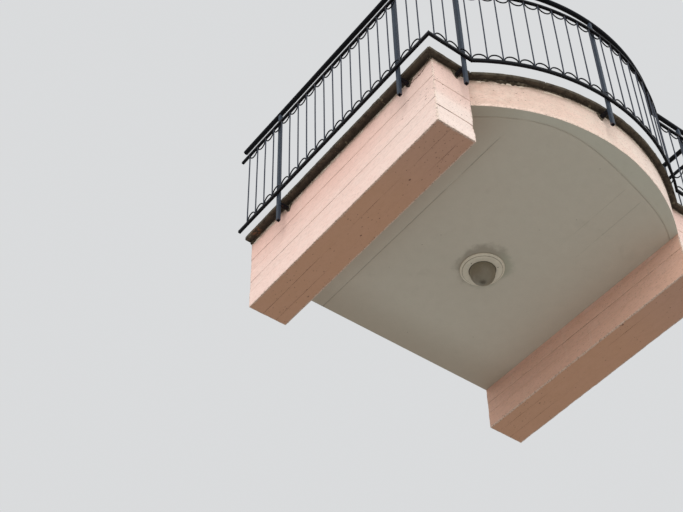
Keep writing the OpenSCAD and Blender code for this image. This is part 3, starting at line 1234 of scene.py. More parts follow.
@dataclass(frozen=True)
class LampPlastic(Finish):
    """Cream plastic of the lamp, yellowed and grimy towards its rim."""

    name: str = "aged_lamp_plastic"
    body: Colour = srgb(232, 224, 204)
    grime: Colour = srgb(142, 130, 106)

    def paint(self, g: Surface) -> None:
        """Paints the surface.

        Args:
            g: the material in the making.
        """
        soft = g.lay("mottle", 9.0, 1.4)
        fine = g.lay("mottle", 60.0, 1.5)
        share = g.math("MULTIPLY_ADD", soft, 0.22, g.attribute("edge") * 0.7, clamp=True)
        g.coat(g.blend(share, self.body, self.grime), fine * 0.2 + 0.42, 0.4)
        g.bump(g.lay("relief", 60.0, 600.0, 0.4), 0.0006, 0.5)


@dataclass(frozen=True)
class LampGlass(Finish):
    """Frosted dome glass with grime that has settled at its lowest point."""

    name: str = "frosted_lamp_glass"
    body: Colour = srgb(170, 160, 138)
    grime: Colour = srgb(84, 72, 52)
    smudge: Point = (LAYOUT.lamp_x - 0.004, LAYOUT.lamp_y + 0.006)

    def paint(self, g: Surface) -> None:
        """Paints the surface.

        Args:
            g: the material in the making.
        """
        fine = g.lay("mottle", 34.0, 1.6)
        flat = g.vector("MULTIPLY", g.place, (1.0, 1.0, 0.0))
        away = g.vector("DISTANCE", flat, (*self.smudge, 0.0))
        low = g.step(fine * 0.018 + away, 0.044, 0.012)
        share = g.math("MULTIPLY_ADD", low, 0.75, fine * 0.18, clamp=True)
        g.coat(g.blend(share, self.body, self.grime), fine * 0.14 + 0.34, Transmission_Weight=0.4,
               IOR=1.5)
        g.bump(g.lay("relief", 70.0, 500.0, 0.4), 0.0006, 0.4)


@dataclass(frozen=True)
class DullMetal(Finish):
    """Tarnished metal or soft rubber of the lamp's small parts."""

    body: Colour
    stain: Colour
    metal: float = 0.8

    def paint(self, g: Surface) -> None:
        """Paints the surface.

        Args:
            g: the material in the making.
        """
        fine = g.lay("mottle", 220.0, 1.8)
        g.coat(g.blend(fine, self.body, self.stain), fine * 0.3 + 0.4, Metallic=self.metal)
        g.bump(g.lay("relief", 300.0, 900.0, 0.4), 0.0004, 0.5)


@dataclass
class Palette:
    """Every finish of the balcony, built once."""

    effects: Effects = field(default_factory=Effects)

    def __post_init__(self) -> None:
        """Builds the materials."""
        e = self.effects
        self.wall_paint = WallPaint().dress(e)
        self.soffit = SoffitPaint().dress(e)
        self.concrete = BareConcrete().dress(e)
        self.stone = CopingStone().dress(e)
        self.mortar = Mortar().dress(e)
        self.tile = FloorTile().dress(e)
        # One black paint in three copies: near-black on the rails as painted shade of what is mostly
        # seen from below, and lighter and bluer on the posts and infill as painted sky reflection.
        self.rail = IronPaint("black_paint_shaded_rails", srgb(14, 15, 19), chalk_and_sky_sheen=srgb(74, 82, 94), shine=0.10,
                              cloud=0.03).dress(e)
        self.post = IronPaint("black_paint_lit_posts", srgb(44, 54, 66), gloss=0.40).dress(e)
        self.infill = IronPaint("black_paint_lit_infill", srgb(44, 50, 62)).dress(e)
        self.plastic = LampPlastic().dress(e)
        self.glass = LampGlass().dress(e)
        self.screw = DullMetal("tarnished_screw", srgb(96, 92, 86), srgb(58, 50, 42)).dress(e)
        self.rubber = DullMetal("lamp_gasket", srgb(44, 40, 34), srgb(66, 58, 46), metal=0.0).dress(e)
        self.bulb = DullMetal("bulb_glass", srgb(236, 228, 206), srgb(214, 200, 168),
                              metal=0.0).dress(e)


# Concrete, stone and tiles


@dataclass
class Beam:
    """Cantilever beam cast against boards, with worn edges."""

    side: Side
    palette: Palette
    steps: tuple[float, ...] = (0.0030, 0.0, 0.0012, -0.0008, 0.0008)
    tones: tuple[float, ...] = (0.95, 0.45, 0.75, 0.35, 0.6)
    groove: tuple[float, ...] = (-0.003, -0.0012, 0.0012, 0.003)
    seed: int = 11

    def build(self) -> Piece:
        """Builds the beam in place of its solid.

        Returns:
            The piece.
        """
        low, high = sorted((self.side.value * LAYOUT.half_width, self.side.value * LAYOUT.bay))
        joints = (*LAYOUT.board_joints, *LAYOUT.front_joints)
        feet = [self.side.value * x for x in LAYOUT.foot_joints]
        block = Block.cut(
            cuts(low, high, 0.018, [x + d for x in feet for d in self.groove]),
            cuts(-LAYOUT.reach, 0.0, 0.017),
            cuts(LAYOUT.beam_foot, LAYOUT.deck, 0.015,
                 [z + d for z in joints for d in self.groove]),
        )
        rest = block.points.copy()
        seed = self.seed + self.side.value
        swell = 0.0016 * rough(rest, 0.30, seed + 5, 3) + 0.0006 * rough(rest, 0.045, seed + 7, 2)
        side_board, side_seam = self._boards(rest[:, 2], LAYOUT.board_joints)
        front_board, front_seam = self._boards(rest[:, 2], LAYOUT.front_joints)
        foot_seam = self._boards(np.abs(rest[:, 0]), LAYOUT.foot_joints)[1]
        steps, tones = np.array(self.steps), np.array(self.tones)
        chips = np.clip(rough(rest, 0.05, seed + 9, 3) - 0.02, 0, 1) ** 1.3
        chips += 0.5 * np.clip(rough(rest, 0.018, seed + 10, 2), 0, 1)
        upright = (np.abs(rest[:, 1] + LAYOUT.reach) < 0.03).astype(float)
        joined = (np.abs(rest[:, 0]) < LAYOUT.bay + 0.04) & (rest[:, 2] > LAYOUT.soffit)
        radius = 0.0035 + chips * (0.014 + 0.018 * upright)
        block.round_off(np.where(joined, 0.0006, radius))
        for side in ((0, -1), (0, 1)):
            block.push(side, swell + steps[side_board] - 0.0020 * side_seam)
        deep = np.where(rest[:, 2] < LAYOUT.front_joints[2] - 0.02, 0.0030, 0.0009)
        block.push((1, -1), swell + 1.5 * steps[front_board] - deep * front_seam)
        block.push((2, -1), swell - 0.0014 * foot_seam)
        edge = np.where(joined, 0.0, 1 - smoothstep(0.0, 0.020, block.edge))
        under = block.normals[2, -1] & ~block.normals[0, 1] & ~block.normals[0, -1]
        tone = np.where(block.normals[1, -1], tones[front_board], tones[side_board])
        shape = Shape()
        shape.add(block.points, block.faces,
                  [1 if side in ((1, 1), (2, 1)) else 0 for side in block.side_of], edge=edge,
                  tone=np.where(under, 0.5, tone))
        piece = shape.build(f"board_marked_beam_{self.side.word}",
                            [self.palette.wall_paint, self.palette.concrete])
        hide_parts(f"{self.side.word}_beam")
        return piece

    @staticmethod
    def _boards(across: Array, joints: Sequence[float]) -> tuple[Array, Array]:
        """Number of the board at each point, and how near its joint is."""
        gap = np.min([np.abs(across - j) for j in joints], axis=0)
        return np.searchsorted(np.sort(joints), across), np.exp(-((gap / 0.0016) ** 2))


@dataclass
class Slab:
    """Floor slab: a grey soffit with a drip groove, and a bowed front."""

    palette: Palette
    groove_in: float = 0.1055
    groove_sway: float = 0.030
    groove_wave: float = 1.50
    groove_start: float = -0.05
    groove_half: float = 0.005
    form_lines: Triples = ((-0.620, -1.985, 1.3), (0.363, -2.12, 0.5), (0.530, -2.10, 0.6))
    front_rows: int = 18
    seed: int = 31

    def build(self) -> Piece:
        """Builds the slab in place of its solid.

        Returns:
            The piece.
        """
        fine = [x + d for x, _, _ in self.form_lines for d in (-0.003, -0.001, 0.001, 0.003)]
        xs = cuts(-LAYOUT.bay, LAYOUT.bay, 0.016, fine)
        front = self._front_rows(xs)
        soffit, seam, rim = self._soffit_rows(xs)
        wide = np.ones_like(xs)
        back = [np.stack([xs, 0 * xs, z * wide], 1)
                for z in np.linspace(LAYOUT.soffit, LAYOUT.deck, 8)[1:]]
        top = [np.stack([xs, front[0, :, 1] * share, LAYOUT.deck * wide], 1)
               for share in np.linspace(0, 1, 12)[1:-1]]
        rows = np.concatenate([front, soffit, back, top])
        nr, nx = rows.shape[:2]
        index = np.arange(nr * nx).reshape(nr, nx)
        shape, faces, finish = Shape(), [], []
        kinds = [0] * (len(front) - 1) + [1] * len(soffit) + [2] * (len(back) + len(top) + 1)
        for r, kind in enumerate(kinds):
            a, b = index[r], index[(r + 1) % nr]
            faces += [[a[i], b[i], b[i + 1], a[i + 1]] for i in range(nx - 1)]
            finish += [kind] * (nx - 1)
        faces += [list(index[::-1, 0]), list(index[:, -1])]
        finish += [2, 2]
        seams, rims, edges = np.zeros((3, nr, nx))
        under = slice(len(front), len(front) + len(soffit))
        seams[under], rims[under] = seam, rim
        edges[len(front) - 3:len(front)] = np.array([0.4, 0.8, 1.0])[:, None]
        shape.add(rows.reshape(-1, 3), faces, finish, seam=seams.ravel(), rim=rims.ravel(),
                  edge=edges.ravel(), tone=0.5)
        p = self.palette
        piece = shape.build("bowed_floor_slab", [p.wall_paint, p.soffit, p.concrete])
        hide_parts("floor_slab")
        return piece

    def _front_rows(self, xs: Array) -> Array:
        """Rows of the leaning front, from its upper edge to the lower one.

        Args:
            xs: positions of the columns.

        Returns:
            The points, row by row.
        """
        heights = np.concatenate([np.linspace(1, 0.05, self.front_rows), [0.025, 0.010, 0.0]])
        rows = []
        for h in heights:
            y = LAYOUT.slab_front(xs, float(h))
            z = np.full_like(xs, LAYOUT.soffit + h * (LAYOUT.deck - LAYOUT.soffit))
            flat = np.stack([xs, y, z], axis=1)
            uneven = 0.0022 * rough(flat, 0.20, self.seed, 3)
            uneven += 0.0007 * rough(flat, 0.035, self.seed + 1, 2)
            worn = 0.004 * (1 - smoothstep(0.0, 0.03, h))
            chip = 0.5 + 0.5 * rough(flat, 0.06, self.seed + 2, 3)
            rows.append(np.stack([xs, y - uneven + worn * chip, z], axis=1))
        return np.array(rows)

    def _soffit_rows(self, xs: Array) -> tuple[Array, Array, Array]:
        """Rows of the soffit from its front edge to the wall.

        Args:
            xs: positions of the columns.

        Returns:
            The rows, how much of a joint each point lies in, and how far each
            point is outside the drip groove.
        """
        lower = LAYOUT.slab_front(xs, 0.0)
        turn = 2 * math.pi * (xs - self.groove_start) / self.groove_wave
        groove = lower + self.groove_in + self.groove_sway * np.sin(turn)
        half = self.groove_half
        offsets = [lower + (groove - half * 1.6 - lower) * s for s in np.linspace(0.06, 1, 8)]
        offsets += [groove + d * half for d in (-0.9, -0.4, 0.4, 0.9)]
        offsets += [(groove + half * 1.6) * (1 - s) for s in np.linspace(0, 1, 116)]
        rows, seams, rims = [], [], []
        for y in offsets:
            flat = np.stack([xs, y, np.full_like(xs, LAYOUT.soffit)], axis=1)
            from_groove = y - groove
            dip = np.exp(-((from_groove / (half * 0.75)) ** 2))
            lines = np.zeros_like(xs)
            for x0, y0, depth in self.form_lines:
                reach = smoothstep(y0 - 0.01, y0 + 0.03, y)
                if depth < 1:
                    reach = reach * (1 - smoothstep(-1.60, -1.40, y))
                lines += depth * reach * np.exp(-(((xs - x0) / 0.0017) ** 2))
            clear = smoothstep(0.17, 0.32, np.hypot(xs - LAYOUT.lamp_x, y - LAYOUT.lamp_y))
            border = smoothstep(0, 0.05, np.abs(y)) * clear
            uneven = 0.0018 * rough(flat, 0.36, self.seed + 5, 3) * border
            lift = 0.0055 * dip + 0.0014 * lines - uneven
            rows.append(np.stack([xs, y, LAYOUT.soffit + lift], axis=1))
            seams.append(np.clip(lines + 0.45 * dip, 0, 1))
            rims.append(smoothstep(0.0, -0.012, from_groove))
        return np.array(rows), np.array(seams), np.array(rims)


@dataclass
class Coping:
    """Ragged stones round the floor, with dark mortar squeezed out below."""

    palette: Palette
    joint: float = 0.004
    core: float = 0.007
    stone: float = 0.52
    side_clumps: Triples = (
        (-0.03, 0.07, 0.016), (-0.44, 0.05, 0.016), (-0.90, 0.05, 0.008),
        (-1.80, 0.09, 0.014), (-2.02, 0.04, 0.010),
    )
    front_clumps: Triples = (
        (-1.22, 0.04, 0.010), (-1.03, 0.06, 0.018), (-0.72, 0.17, 0.026),
        (-0.35, 0.12, 0.010), (0.05, 0.10, 0.006), (0.575, 0.14, 0.018),
        (0.90, 0.12, 0.016),
    )
    seed: int = 57

    def build(self) -> list[Piece]:
        """Builds the stones of each run and the mortar.

        Returns:
            The pieces.
        """
        made = []
        bow = LAYOUT.stone_bow
        outer = LAYOUT.plan_line(bow, LAYOUT.coping_out, 10.0, LAYOUT.coping_side)
        inner = LAYOUT.plan_line(bow, -LAYOUT.coping_in, 10.0)
        for number, run in enumerate(Run):
            shape = Shape()
            first, last = outer[run][[0, -1]]
            near, far = inner[run][[0, -1]]
            stones = max(1, round(np.linalg.norm(last - first) / self.stone))
            cross = [(first + (last - first) * s, near + (far - near) * s)
                     for s in np.linspace(0, 1, stones + 1)]
            if run in (Run.LEFT, Run.RIGHT):
                for o, i in cross[1:-1]:
                    i[1] = o[1]
            for k in range(stones):
                self._stone(shape, run, (cross[k], cross[k + 1]), (k / stones, (k + 1) / stones),
                            self.seed + 10 * number + k)
            piece = shape.build(f"coping_stones_{run.value}", [self.palette.stone])
            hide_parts(f"coping_{run.value}")
            made.append(piece)
        made.append(self._mortar())
        return made

    def _stone(self, shape: Shape, run: Run, ends: tuple, part: Point, seed: int) -> None:
        """Adds one stone.

        Args:
            shape: the shape that it goes into.
            run: the run of coping that it belongs to.
            ends: the outer and inner plan point of its first and its last joint.
            part: the stone's place along the run, from 0 to 1.
            seed: picks its unevenness.
        """
        length = np.linalg.norm(ends[1][0] - ends[0][0])
        out = LAYOUT.coping_side if run in (Run.LEFT, Run.RIGHT) else LAYOUT.coping_out
        width = out + LAYOUT.coping_in
        thick = LAYOUT.coping_top - LAYOUT.deck
        block = Block.cut(cuts(0, length, 0.016), cuts(0, width, 0.022), cuts(0, thick, 0.010))
        rest = block.points.copy()
        away = rest + (seed * 0.71, seed * 0.37, 0)
        chips = np.clip(rough(away, 0.045, seed, 3), 0, 1)
        block.round_off(0.0035 + 0.012 * chips)
        ragged = 0.0022 * rough(away, 0.05, seed + 1, 3) + 0.0012 * rough(away, 0.016, seed + 2, 2)
        for side in ((1, -1), (1, 1), (0, -1), (0, 1)):
            block.push(side, ragged - 0.0008)
        block.push((2, -1), 0.0016 * rough(away, 0.05, seed + 3, 3))
        block.push((2, 1), 0.0008 * rough(away, 0.09, seed + 4, 3) - 0.0006)
        gap = self.joint / 2 / length
        share = gap + (1 - 2 * gap) * block.points[:, 0] / length
        across = block.points[:, 1] / width
        if run is Run.BOW:
            bow = LAYOUT.stone_bow
            half = bow.half_angle(LAYOUT.coping_out), bow.half_angle(-LAYOUT.coping_in)
            reach = half[0] + (half[1] - half[0]) * across
            angle = reach * (2 * (part[0] + (part[1] - part[0]) * share) - 1)
            r = bow.r(LAYOUT.coping_out) - block.points[:, 1]
            plan = np.stack([bow.x + r * np.sin(angle), bow.y - r * np.cos(angle)], axis=1)
        else:
            (o0, i0), (o1, i1) = ends
            u, v = share[:, None], across[:, None]
            plan = (o0 + (o1 - o0) * u) * (1 - v) + (i0 + (i1 - i0) * u) * v
        points = np.column_stack([plan, LAYOUT.deck + block.points[:, 2]])
        tone = 0.5 + 0.5 * math.sin(seed * 2.3)
        shape.add(points, block.faces, edge=1 - smoothstep(0, 0.012, block.edge),
                  rim=1 - smoothstep(0.012, 0.040, block.points[:, 1]), tone=tone)

    def _mortar(self) -> Piece:
        """Builds the ragged band of mortar under the overhang.

        Returns:
            The piece.
        """
        shape = Shape()
        hw, reach, bay = LAYOUT.half_width, LAYOUT.reach, LAYOUT.bay
        xs = np.linspace(-bay, bay, 260)
        bow = np.stack([xs, LAYOUT.slab_front(xs, 0.97)], axis=1)
        corners = np.array([(-hw, 0.0), (-hw, -reach), bow[0], bow[-1], (hw, -reach), (hw, 0.0)])
        for a in (0, 1, 3, 4):
            start, end = corners[a:a + 2]
            n = max(3, round(np.linalg.norm(end - start) / 0.006))
            self._band(shape, start + (end - start) * np.linspace(0, 1, n)[:, None], a)
        self._band(shape, bow, 8)
        outer = LAYOUT.plan_line(LAYOUT.stone_bow, LAYOUT.coping_out - self.core, 0.03,
                                 LAYOUT.coping_side - self.core)
        inner = LAYOUT.plan_line(LAYOUT.stone_bow, -LAYOUT.coping_in + self.core, 0.03)
        for run in Run:
            loop = np.vstack([outer[run], inner[run][::-1]])
            n = len(loop)
            heights = (LAYOUT.deck + 0.002, LAYOUT.coping_top - 0.003)
            points = np.vstack([np.column_stack([loop, np.full(n, z)]) for z in heights])
            faces = [[i, (i + 1) % n, n + (i + 1) % n, n + i] for i in range(n)]
            shape.add(points, faces + [list(range(n))[::-1], list(range(n, 2 * n))])
        piece = shape.build("coping_mortar", [self.palette.mortar])
        return piece

    def _band(self, shape: Shape, path: Array, seed: int) -> None:
        """Adds one length of mortar that hangs from the coping.

        Args:
            shape: the shape that it goes into.
            path: plan points along the face of the concrete.
            seed: picks its raggedness.
        """
        across = sideways(path)
        at = np.column_stack([path, np.full(len(path), seed * 0.3)])
        front = seed in (1, 3, 8)
        along = path[:, 0] if front else path[:, 1]
        heap = np.zeros(len(path))
        for middle, reach, height in self.front_clumps if front else self.side_clumps:
            heap = np.maximum(heap, height * np.exp(-(((along - middle) / reach) ** 2)))
        ragged = 0.5 + 0.9 * rough(at, 0.030, seed + 72, 4)
        tall = np.clip(0.0025 + 0.003 * rough(at, 0.085, seed + 71, 3) + heap * np.clip(ragged, 0, 1.4),
                       0.0012, 0.034)
        wide = np.clip(0.003 + 0.6 * tall * (1 + 0.4 * rough(at, 0.05, seed + 73, 3)), 0.002, 0.02)
        rows = [(-0.012, 0.0), (1.0, 0.0), (1.05, -0.35), (0.75, -0.75), (0.2, -1.0), (-0.012, -1.05)]
        rings = []
        for out, down in reversed(rows):
            plan = path + across * np.where(out > 0, out * wide, out)[:, None]
            rings.append(np.column_stack([plan, LAYOUT.deck + down * tall]))
        points = np.stack(rings, axis=1).reshape(-1, 3)
        points += 0.0012 * np.stack([rough(points, 0.012, seed + 75 + a, 2) for a in range(3)], axis=1)
        shape.add(points, tube_faces(len(path), len(rows)))


@dataclass
class Paving:
    """Square clay tiles on a mortar bed."""

    palette: Palette
    tile: float = 1.860 / 9
    joint: float = 0.006
    bevel: float = 0.0025
    least_area: float = 0.0012
    least_side: float = 0.004
    bow_cuts: int = 41
    seed: int = 5

    def build(self) -> list[Piece]:
        """Builds the bed and the tiles.

        Returns:
            The pieces.
        """
        edge = LAYOUT.half_width - LAYOUT.coping_in
        front = -LAYOUT.reach + LAYOUT.coping_in
        bow = LAYOUT.plan_line(LAYOUT.stone_bow, -LAYOUT.coping_in, 0.03)[Run.BOW]
        outline = [(-edge, 0.0), (-edge, front), *map(tuple, bow), (edge, front), (edge, 0.0)]
        bed = Shape()
        self._slab(bed, outline, LAYOUT.deck, LAYOUT.paving_top - 0.004, 0.0)
        base = bed.build("tile_bed", [self.palette.mortar])
        tiles = Shape()
        chance = np.random.default_rng(self.seed)
        columns = math.ceil(edge / self.tile)
        for row in range(11):
            for column in range(-columns - 1, columns + 1):
                x0 = column * self.tile + self.tile / 2
                y1 = -row * self.tile
                x1, y0 = x0 + self.tile, y1 - self.tile
                square = [(x0, y0), (x1, y0), (x1, y1), (x0, y1)]
                polygon = self._inset(self._trim(square, edge, row >= 9), self.joint / 2)
                if polygon is not None:
                    lift = 0.0008 * chance.random()
                    self._slab(tiles, polygon, LAYOUT.paving_top - 0.006, LAYOUT.paving_top - lift,
                               self.bevel, float(chance.random()))
        top = tiles.build("floor_tiles", [self.palette.tile])
        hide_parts("floor_paving")
        return [base, top]

    def _trim(self, polygon: list, edge: float, bowed: bool) -> list:
        """Cuts a tile to the floor's outline.

        Args:
            polygon: plan corners of the whole tile.
            edge: half the width of the floor.
            bowed: whether the tile lies in the bow and not in the main field.

        Returns:
            The corners that are left.
        """
        planes = [(1.0, 0.0, edge), (-1.0, 0.0, edge)]
        if bowed:
            bow = LAYOUT.stone_bow
            half = bow.half_angle(-LAYOUT.coping_in)
            for a in np.linspace(-half, half, self.bow_cuts):
                u, v = math.sin(a), -math.cos(a)
                planes.append((u, v, u * bow.x + v * bow.y + bow.r(-LAYOUT.coping_in)))
        for u, v, limit in planes:
            kept = []
            for (ax, ay), (bx, by) in zip(polygon, polygon[1:] + polygon[:1]):
                da, db = u * ax + v * ay - limit, u * bx + v * by - limit
                if da <= 0:
                    kept.append((ax, ay))
                if da * db < 0:
                    t = da / (da - db)
                    kept.append((ax + (bx - ax) * t, ay + (by - ay) * t))
            polygon = kept
        return polygon

    def _inset(self, polygon: list, amount: float) -> Array | None:
        """Moves the sides of a convex polygon inwards.

        Args:
            polygon: its corners, anticlockwise.
            amount: how far.

        Returns:
            The new corners, or None where too little is left.
        """
        p = np.reshape(polygon, (-1, 2))
        p = p[np.linalg.norm(np.roll(p, -1, axis=0) - p, axis=1) > self.least_side]
        side = np.roll(p, -1, axis=0) - p
        area = 0.5 * np.sum(p[:, 0] * np.roll(p[:, 1], -1) - p[:, 1] * np.roll(p[:, 0], -1))
        if area < self.least_area:
            return None
        n = unit(np.stack([-side[:, 1], side[:, 0]], 1))
        limit = np.sum(n * p, axis=1) + amount
        m, k = np.roll(n, 1, axis=0), np.roll(limit, 1)
        cross = m[:, 0] * n[:, 1] - m[:, 1] * n[:, 0]
        cross[np.abs(cross) < 1e-3] = np.nan
        x = (k * n[:, 1] - limit * m[:, 1]) / cross
        y = (m[:, 0] * limit - n[:, 0] * k) / cross
        made = np.stack([x, y], axis=1)
        return np.where(np.isnan(made), p + amount * n, made)

    def _slab(self, shape: Shape, outline: Sequence, low: float, high: float, bevel: float,
              tone: float = 0.0) -> None:
        """Adds a flat slab with an optional bevel round its top.

        Args:
            shape: the shape that it goes into.
            outline: plan corners, anticlockwise.
            low, high: heights of its underside and top.
            bevel: width of the bevel.
            tone: how it was fired, from 0 to 1.
        """
        plan = np.array(outline, float)
        n = len(plan)
        rings = [(plan, low), (plan, high - bevel)]
        if bevel:
            small = self._inset([tuple(q) for q in plan], bevel)
            if small is None or len(small) != n:
                small = plan.mean(0) + (plan - plan.mean(0)) * (1 - bevel * 8)
            rings.append((small, high))
        points = np.vstack([np.column_stack([q, np.full(n, z)]) for q, z in rings])
        faces = [face[::-1] for face in tube_faces(len(rings), n)]
        edge = np.repeat((1.0, 1.0, 0.6)[:len(rings)], n)
        shape.add(points, faces, tone=tone, edge=edge)


# The iron railing


@dataclass(frozen=True)
class Post:
    """Place of one post: its name, plan position and outward direction."""

    name: str
    at: Point
    outward: Point
    stub: float = 0.077
    foot: float = LAYOUT.post_foot


@dataclass
class Railing:
    """Handrail, rails, posts, brackets and infill, welded together."""

    palette: Palette
    weld: float = 0.0075
    wall: float = 0.0025
    baluster: float = 0.005
    scallop: float = 0.005
    scallop_rise: float = 0.057
    scallop_lap: float = 0.0005
    stub_half: float = 0.0122
    stub_corner: float = 0.0024
    dabs: Triples = (
        (0.0, -0.001, 0.0195), (0.012, 0.011, 0.014), (-0.014, 0.008, 0.015),
        (0.004, -0.017, 0.010), (0.027, 0.024, 0.012), (-0.026, 0.026, 0.010),
    )
    seed: int = 83

    def build(self) -> list[Piece]:
        """Builds every part of the railing.

        Returns:
            The pieces.
        """
        section = ring_section(LAYOUT.handrail_radius, 28)
        made = self._bars("handrail", LAYOUT.post_out, LAYOUT.handrail, section)
        for word, height, tall in (("top_rail", LAYOUT.top_rail, LAYOUT.rail_half),
                                   ("bottom_rail", LAYOUT.bottom_rail, LAYOUT.bottom_half)):
            section = square_section(LAYOUT.rail_half, 0.0026, tall)
            made += self._bars(word, LAYOUT.rail_out, height, section)
        made += [self._post(post) for post in self.posts()]
        return [*made, *self._brackets(), *self._infill(), self._rail_welds()]

    def _bars(self, word: str, out: float, height: float, section: Array) -> list:
        """Builds the five mitred lengths of one rail.

        Args:
            word: what the rail is called.
            out: its distance from the concrete.
            height: height of its middle.
            section: its section, as (sideways, up) pairs.

        Returns:
            The pieces.
        """
        runs, path, across, _ = self._line(out)
        made, start = [], 0
        for run in Run:
            stop = start + len(runs[run]) - 1
            part, side = path[start:stop + 1], across[start:stop + 1]
            shape = Shape()
            plan = part[:, None] + side[:, None] * section[None, :, :1]
            up = np.broadcast_to(height + section[None, :, 1:], (*plan.shape[:2], 1))
            points = np.concatenate([plan, up], axis=2).reshape(-1, 3)
            flat = points * (1, 1, 0)
            for axis, drift in enumerate((0.0010, 0.0010, 0.0012)):
                points[:, axis] += drift * rough(flat, 0.5, self.seed + axis, 2)
            if run in (Run.LEFT, Run.RIGHT):
                points[:, 1] = np.minimum(points[:, 1], 0.0)
            shape.add(points, tube_faces(len(part), len(section)))
            piece = shape.build(f"{word}_{run.value}_bar", [self.palette.rail], 35)
            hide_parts(f"{word}_{run.value}")
            made.append(piece)
            start = stop
        return made

    @staticmethod
    def _line(out: float) -> tuple[dict[Run, Array], Array, Array, list[int]]:
        """Plan line of a rail.

        Args:
            out: its distance from the concrete.

        Returns:
            The points of each run, all of them in one row, the outward vector at
            each, and the numbers of the points at the corners.
        """
        runs = LAYOUT.plan_line(LAYOUT.rail_bow, out, 0.045)
        path = np.vstack([runs[Run.LEFT][:1]] + [runs[run][1:] for run in Run])
        ends = np.cumsum([len(runs[run]) - 1 for run in Run])
        return runs, path, sideways(path), [int(end) for end in ends[:-1]]

    def posts(self) -> list[Post]:
        """Places of the seven posts.

        Returns:
            The posts, in the order of their names in the source.
        """
        edge = LAYOUT.half_width + LAYOUT.post_out
        front = -LAYOUT.reach - LAYOUT.post_out
        rows = []
        for side in Side:
            for word, n in (("rear", 4), ("front", 17)):
                y = -(LAYOUT.first_baluster + (n - 0.5) * LAYOUT.pitch)
                rows.append(Post(f"post_{side.word}_{word}", (side.value * edge, y),
                                 (float(side.value), 0.0)))
        for side, n in ((Side.LEFT, 0.5), (Side.RIGHT, 2.5)):
            _, step = self.front_spaces(side)
            x = self.kink(side) + side.value * n * step
            rows.append(Post(f"post_front_{side.word}", (x, front), (0.0, -1.0)))
        x, y = LAYOUT.rail_bow.at(0.0, LAYOUT.post_out)
        gap = float(LAYOUT.slab_front(np.array([x]), 0.92)[0]) - y - LAYOUT.post_half
        rows.append(Post("post_bow", (x, y), (0.0, -1.0), gap, LAYOUT.bow_post_foot))
        return rows

    @staticmethod
    def kink(side: Side) -> float:
        """X of the point where the rails turn from straight to bowed."""
        bow = LAYOUT.rail_bow
        return bow.x + side.value * bow.half_width(LAYOUT.rail_out)

    @property
    def gap(self) -> Point:
        """Heights between which the infill stands."""
        return (LAYOUT.bottom_rail + LAYOUT.bottom_half, LAYOUT.top_rail - LAYOUT.rail_half)

    def front_spaces(self, side: Side) -> tuple[int, float]:
        """Spaces of the infill on a straight part of the front.

        Args:
            side: the side on which it lies.

        Returns:
            Their number and their width.
        """
        run = LAYOUT.half_width + LAYOUT.rail_out - LAYOUT.corner_gap
        run -= self.kink(side) * side.value
        number = round(run / LAYOUT.pitch)
        return number, run / number

    @staticmethod
    def _stand(post: Post, points: Array) -> Array:
        """Moves points from a post's own frame, where -Y is outward, to its place."""
        (x, y, z), (ox, oy), (px, py) = points.T, post.outward, post.at
        return np.column_stack([px - x * oy - y * ox, py + x * ox - y * oy, z])

    def _post(self, post: Post) -> Piece:
        """Builds a post: a square tube, open at its foot, with its welds.

        Args:
            post: where it stands.

        Returns:
            The piece.
        """
        half, foot = LAYOUT.post_half, post.foot
        outer = square_section(half, 0.003)
        inner = square_section(half - self.wall, 0.0015)
        heights = [foot, foot + 0.001, *np.linspace(foot + 0.03, LAYOUT.handrail - 0.006, 24)]
        rings = [(inner, foot + 0.05), (inner, foot)]
        rings += [(outer * (0.985 if i == 0 else 1.0), z) for i, z in enumerate(heights)]
        count = len(outer)
        points = np.vstack([np.column_stack([s, np.full(count, z)]) for s, z in rings])
        points[:, 0] += 0.0007 * rough(points * (0, 0, 1) + post.at[0], 0.4, self.seed, 2)
        shape = Shape()
        faces = [f[::-1] for f in tube_faces(len(rings), count)]
        shape.add(self._stand(post, points), faces,
                  edge=np.where(np.arange(len(points)) < 4 * count, 0.8, 0.0))
        rails = ((LAYOUT.top_rail, LAYOUT.rail_half), (LAYOUT.bottom_rail, LAYOUT.bottom_half))
        long, thin = 0.0105, 0.0035
        beads = [((0.0, -half - 0.001, z + dz * (tall + 0.001)), (long, thin, thin))
                 for z, tall in rails for dz in (-1, 1)]
        beads += [((dx * (half + 0.0005), 0.0, LAYOUT.handrail - 0.0155), (thin, long, thin))
                  for dx in (-1, 1)]
        for number, (at, size) in enumerate(beads):
            blob, skin = lump(at, size, self.seed + number + int(post.at[0] * 100))
            shape.add(self._stand(post, blob), skin, edge=0.75)
        piece = shape.build(f"{post.name}_tube", [self.palette.post], 35)
        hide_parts(post.name)
        return piece

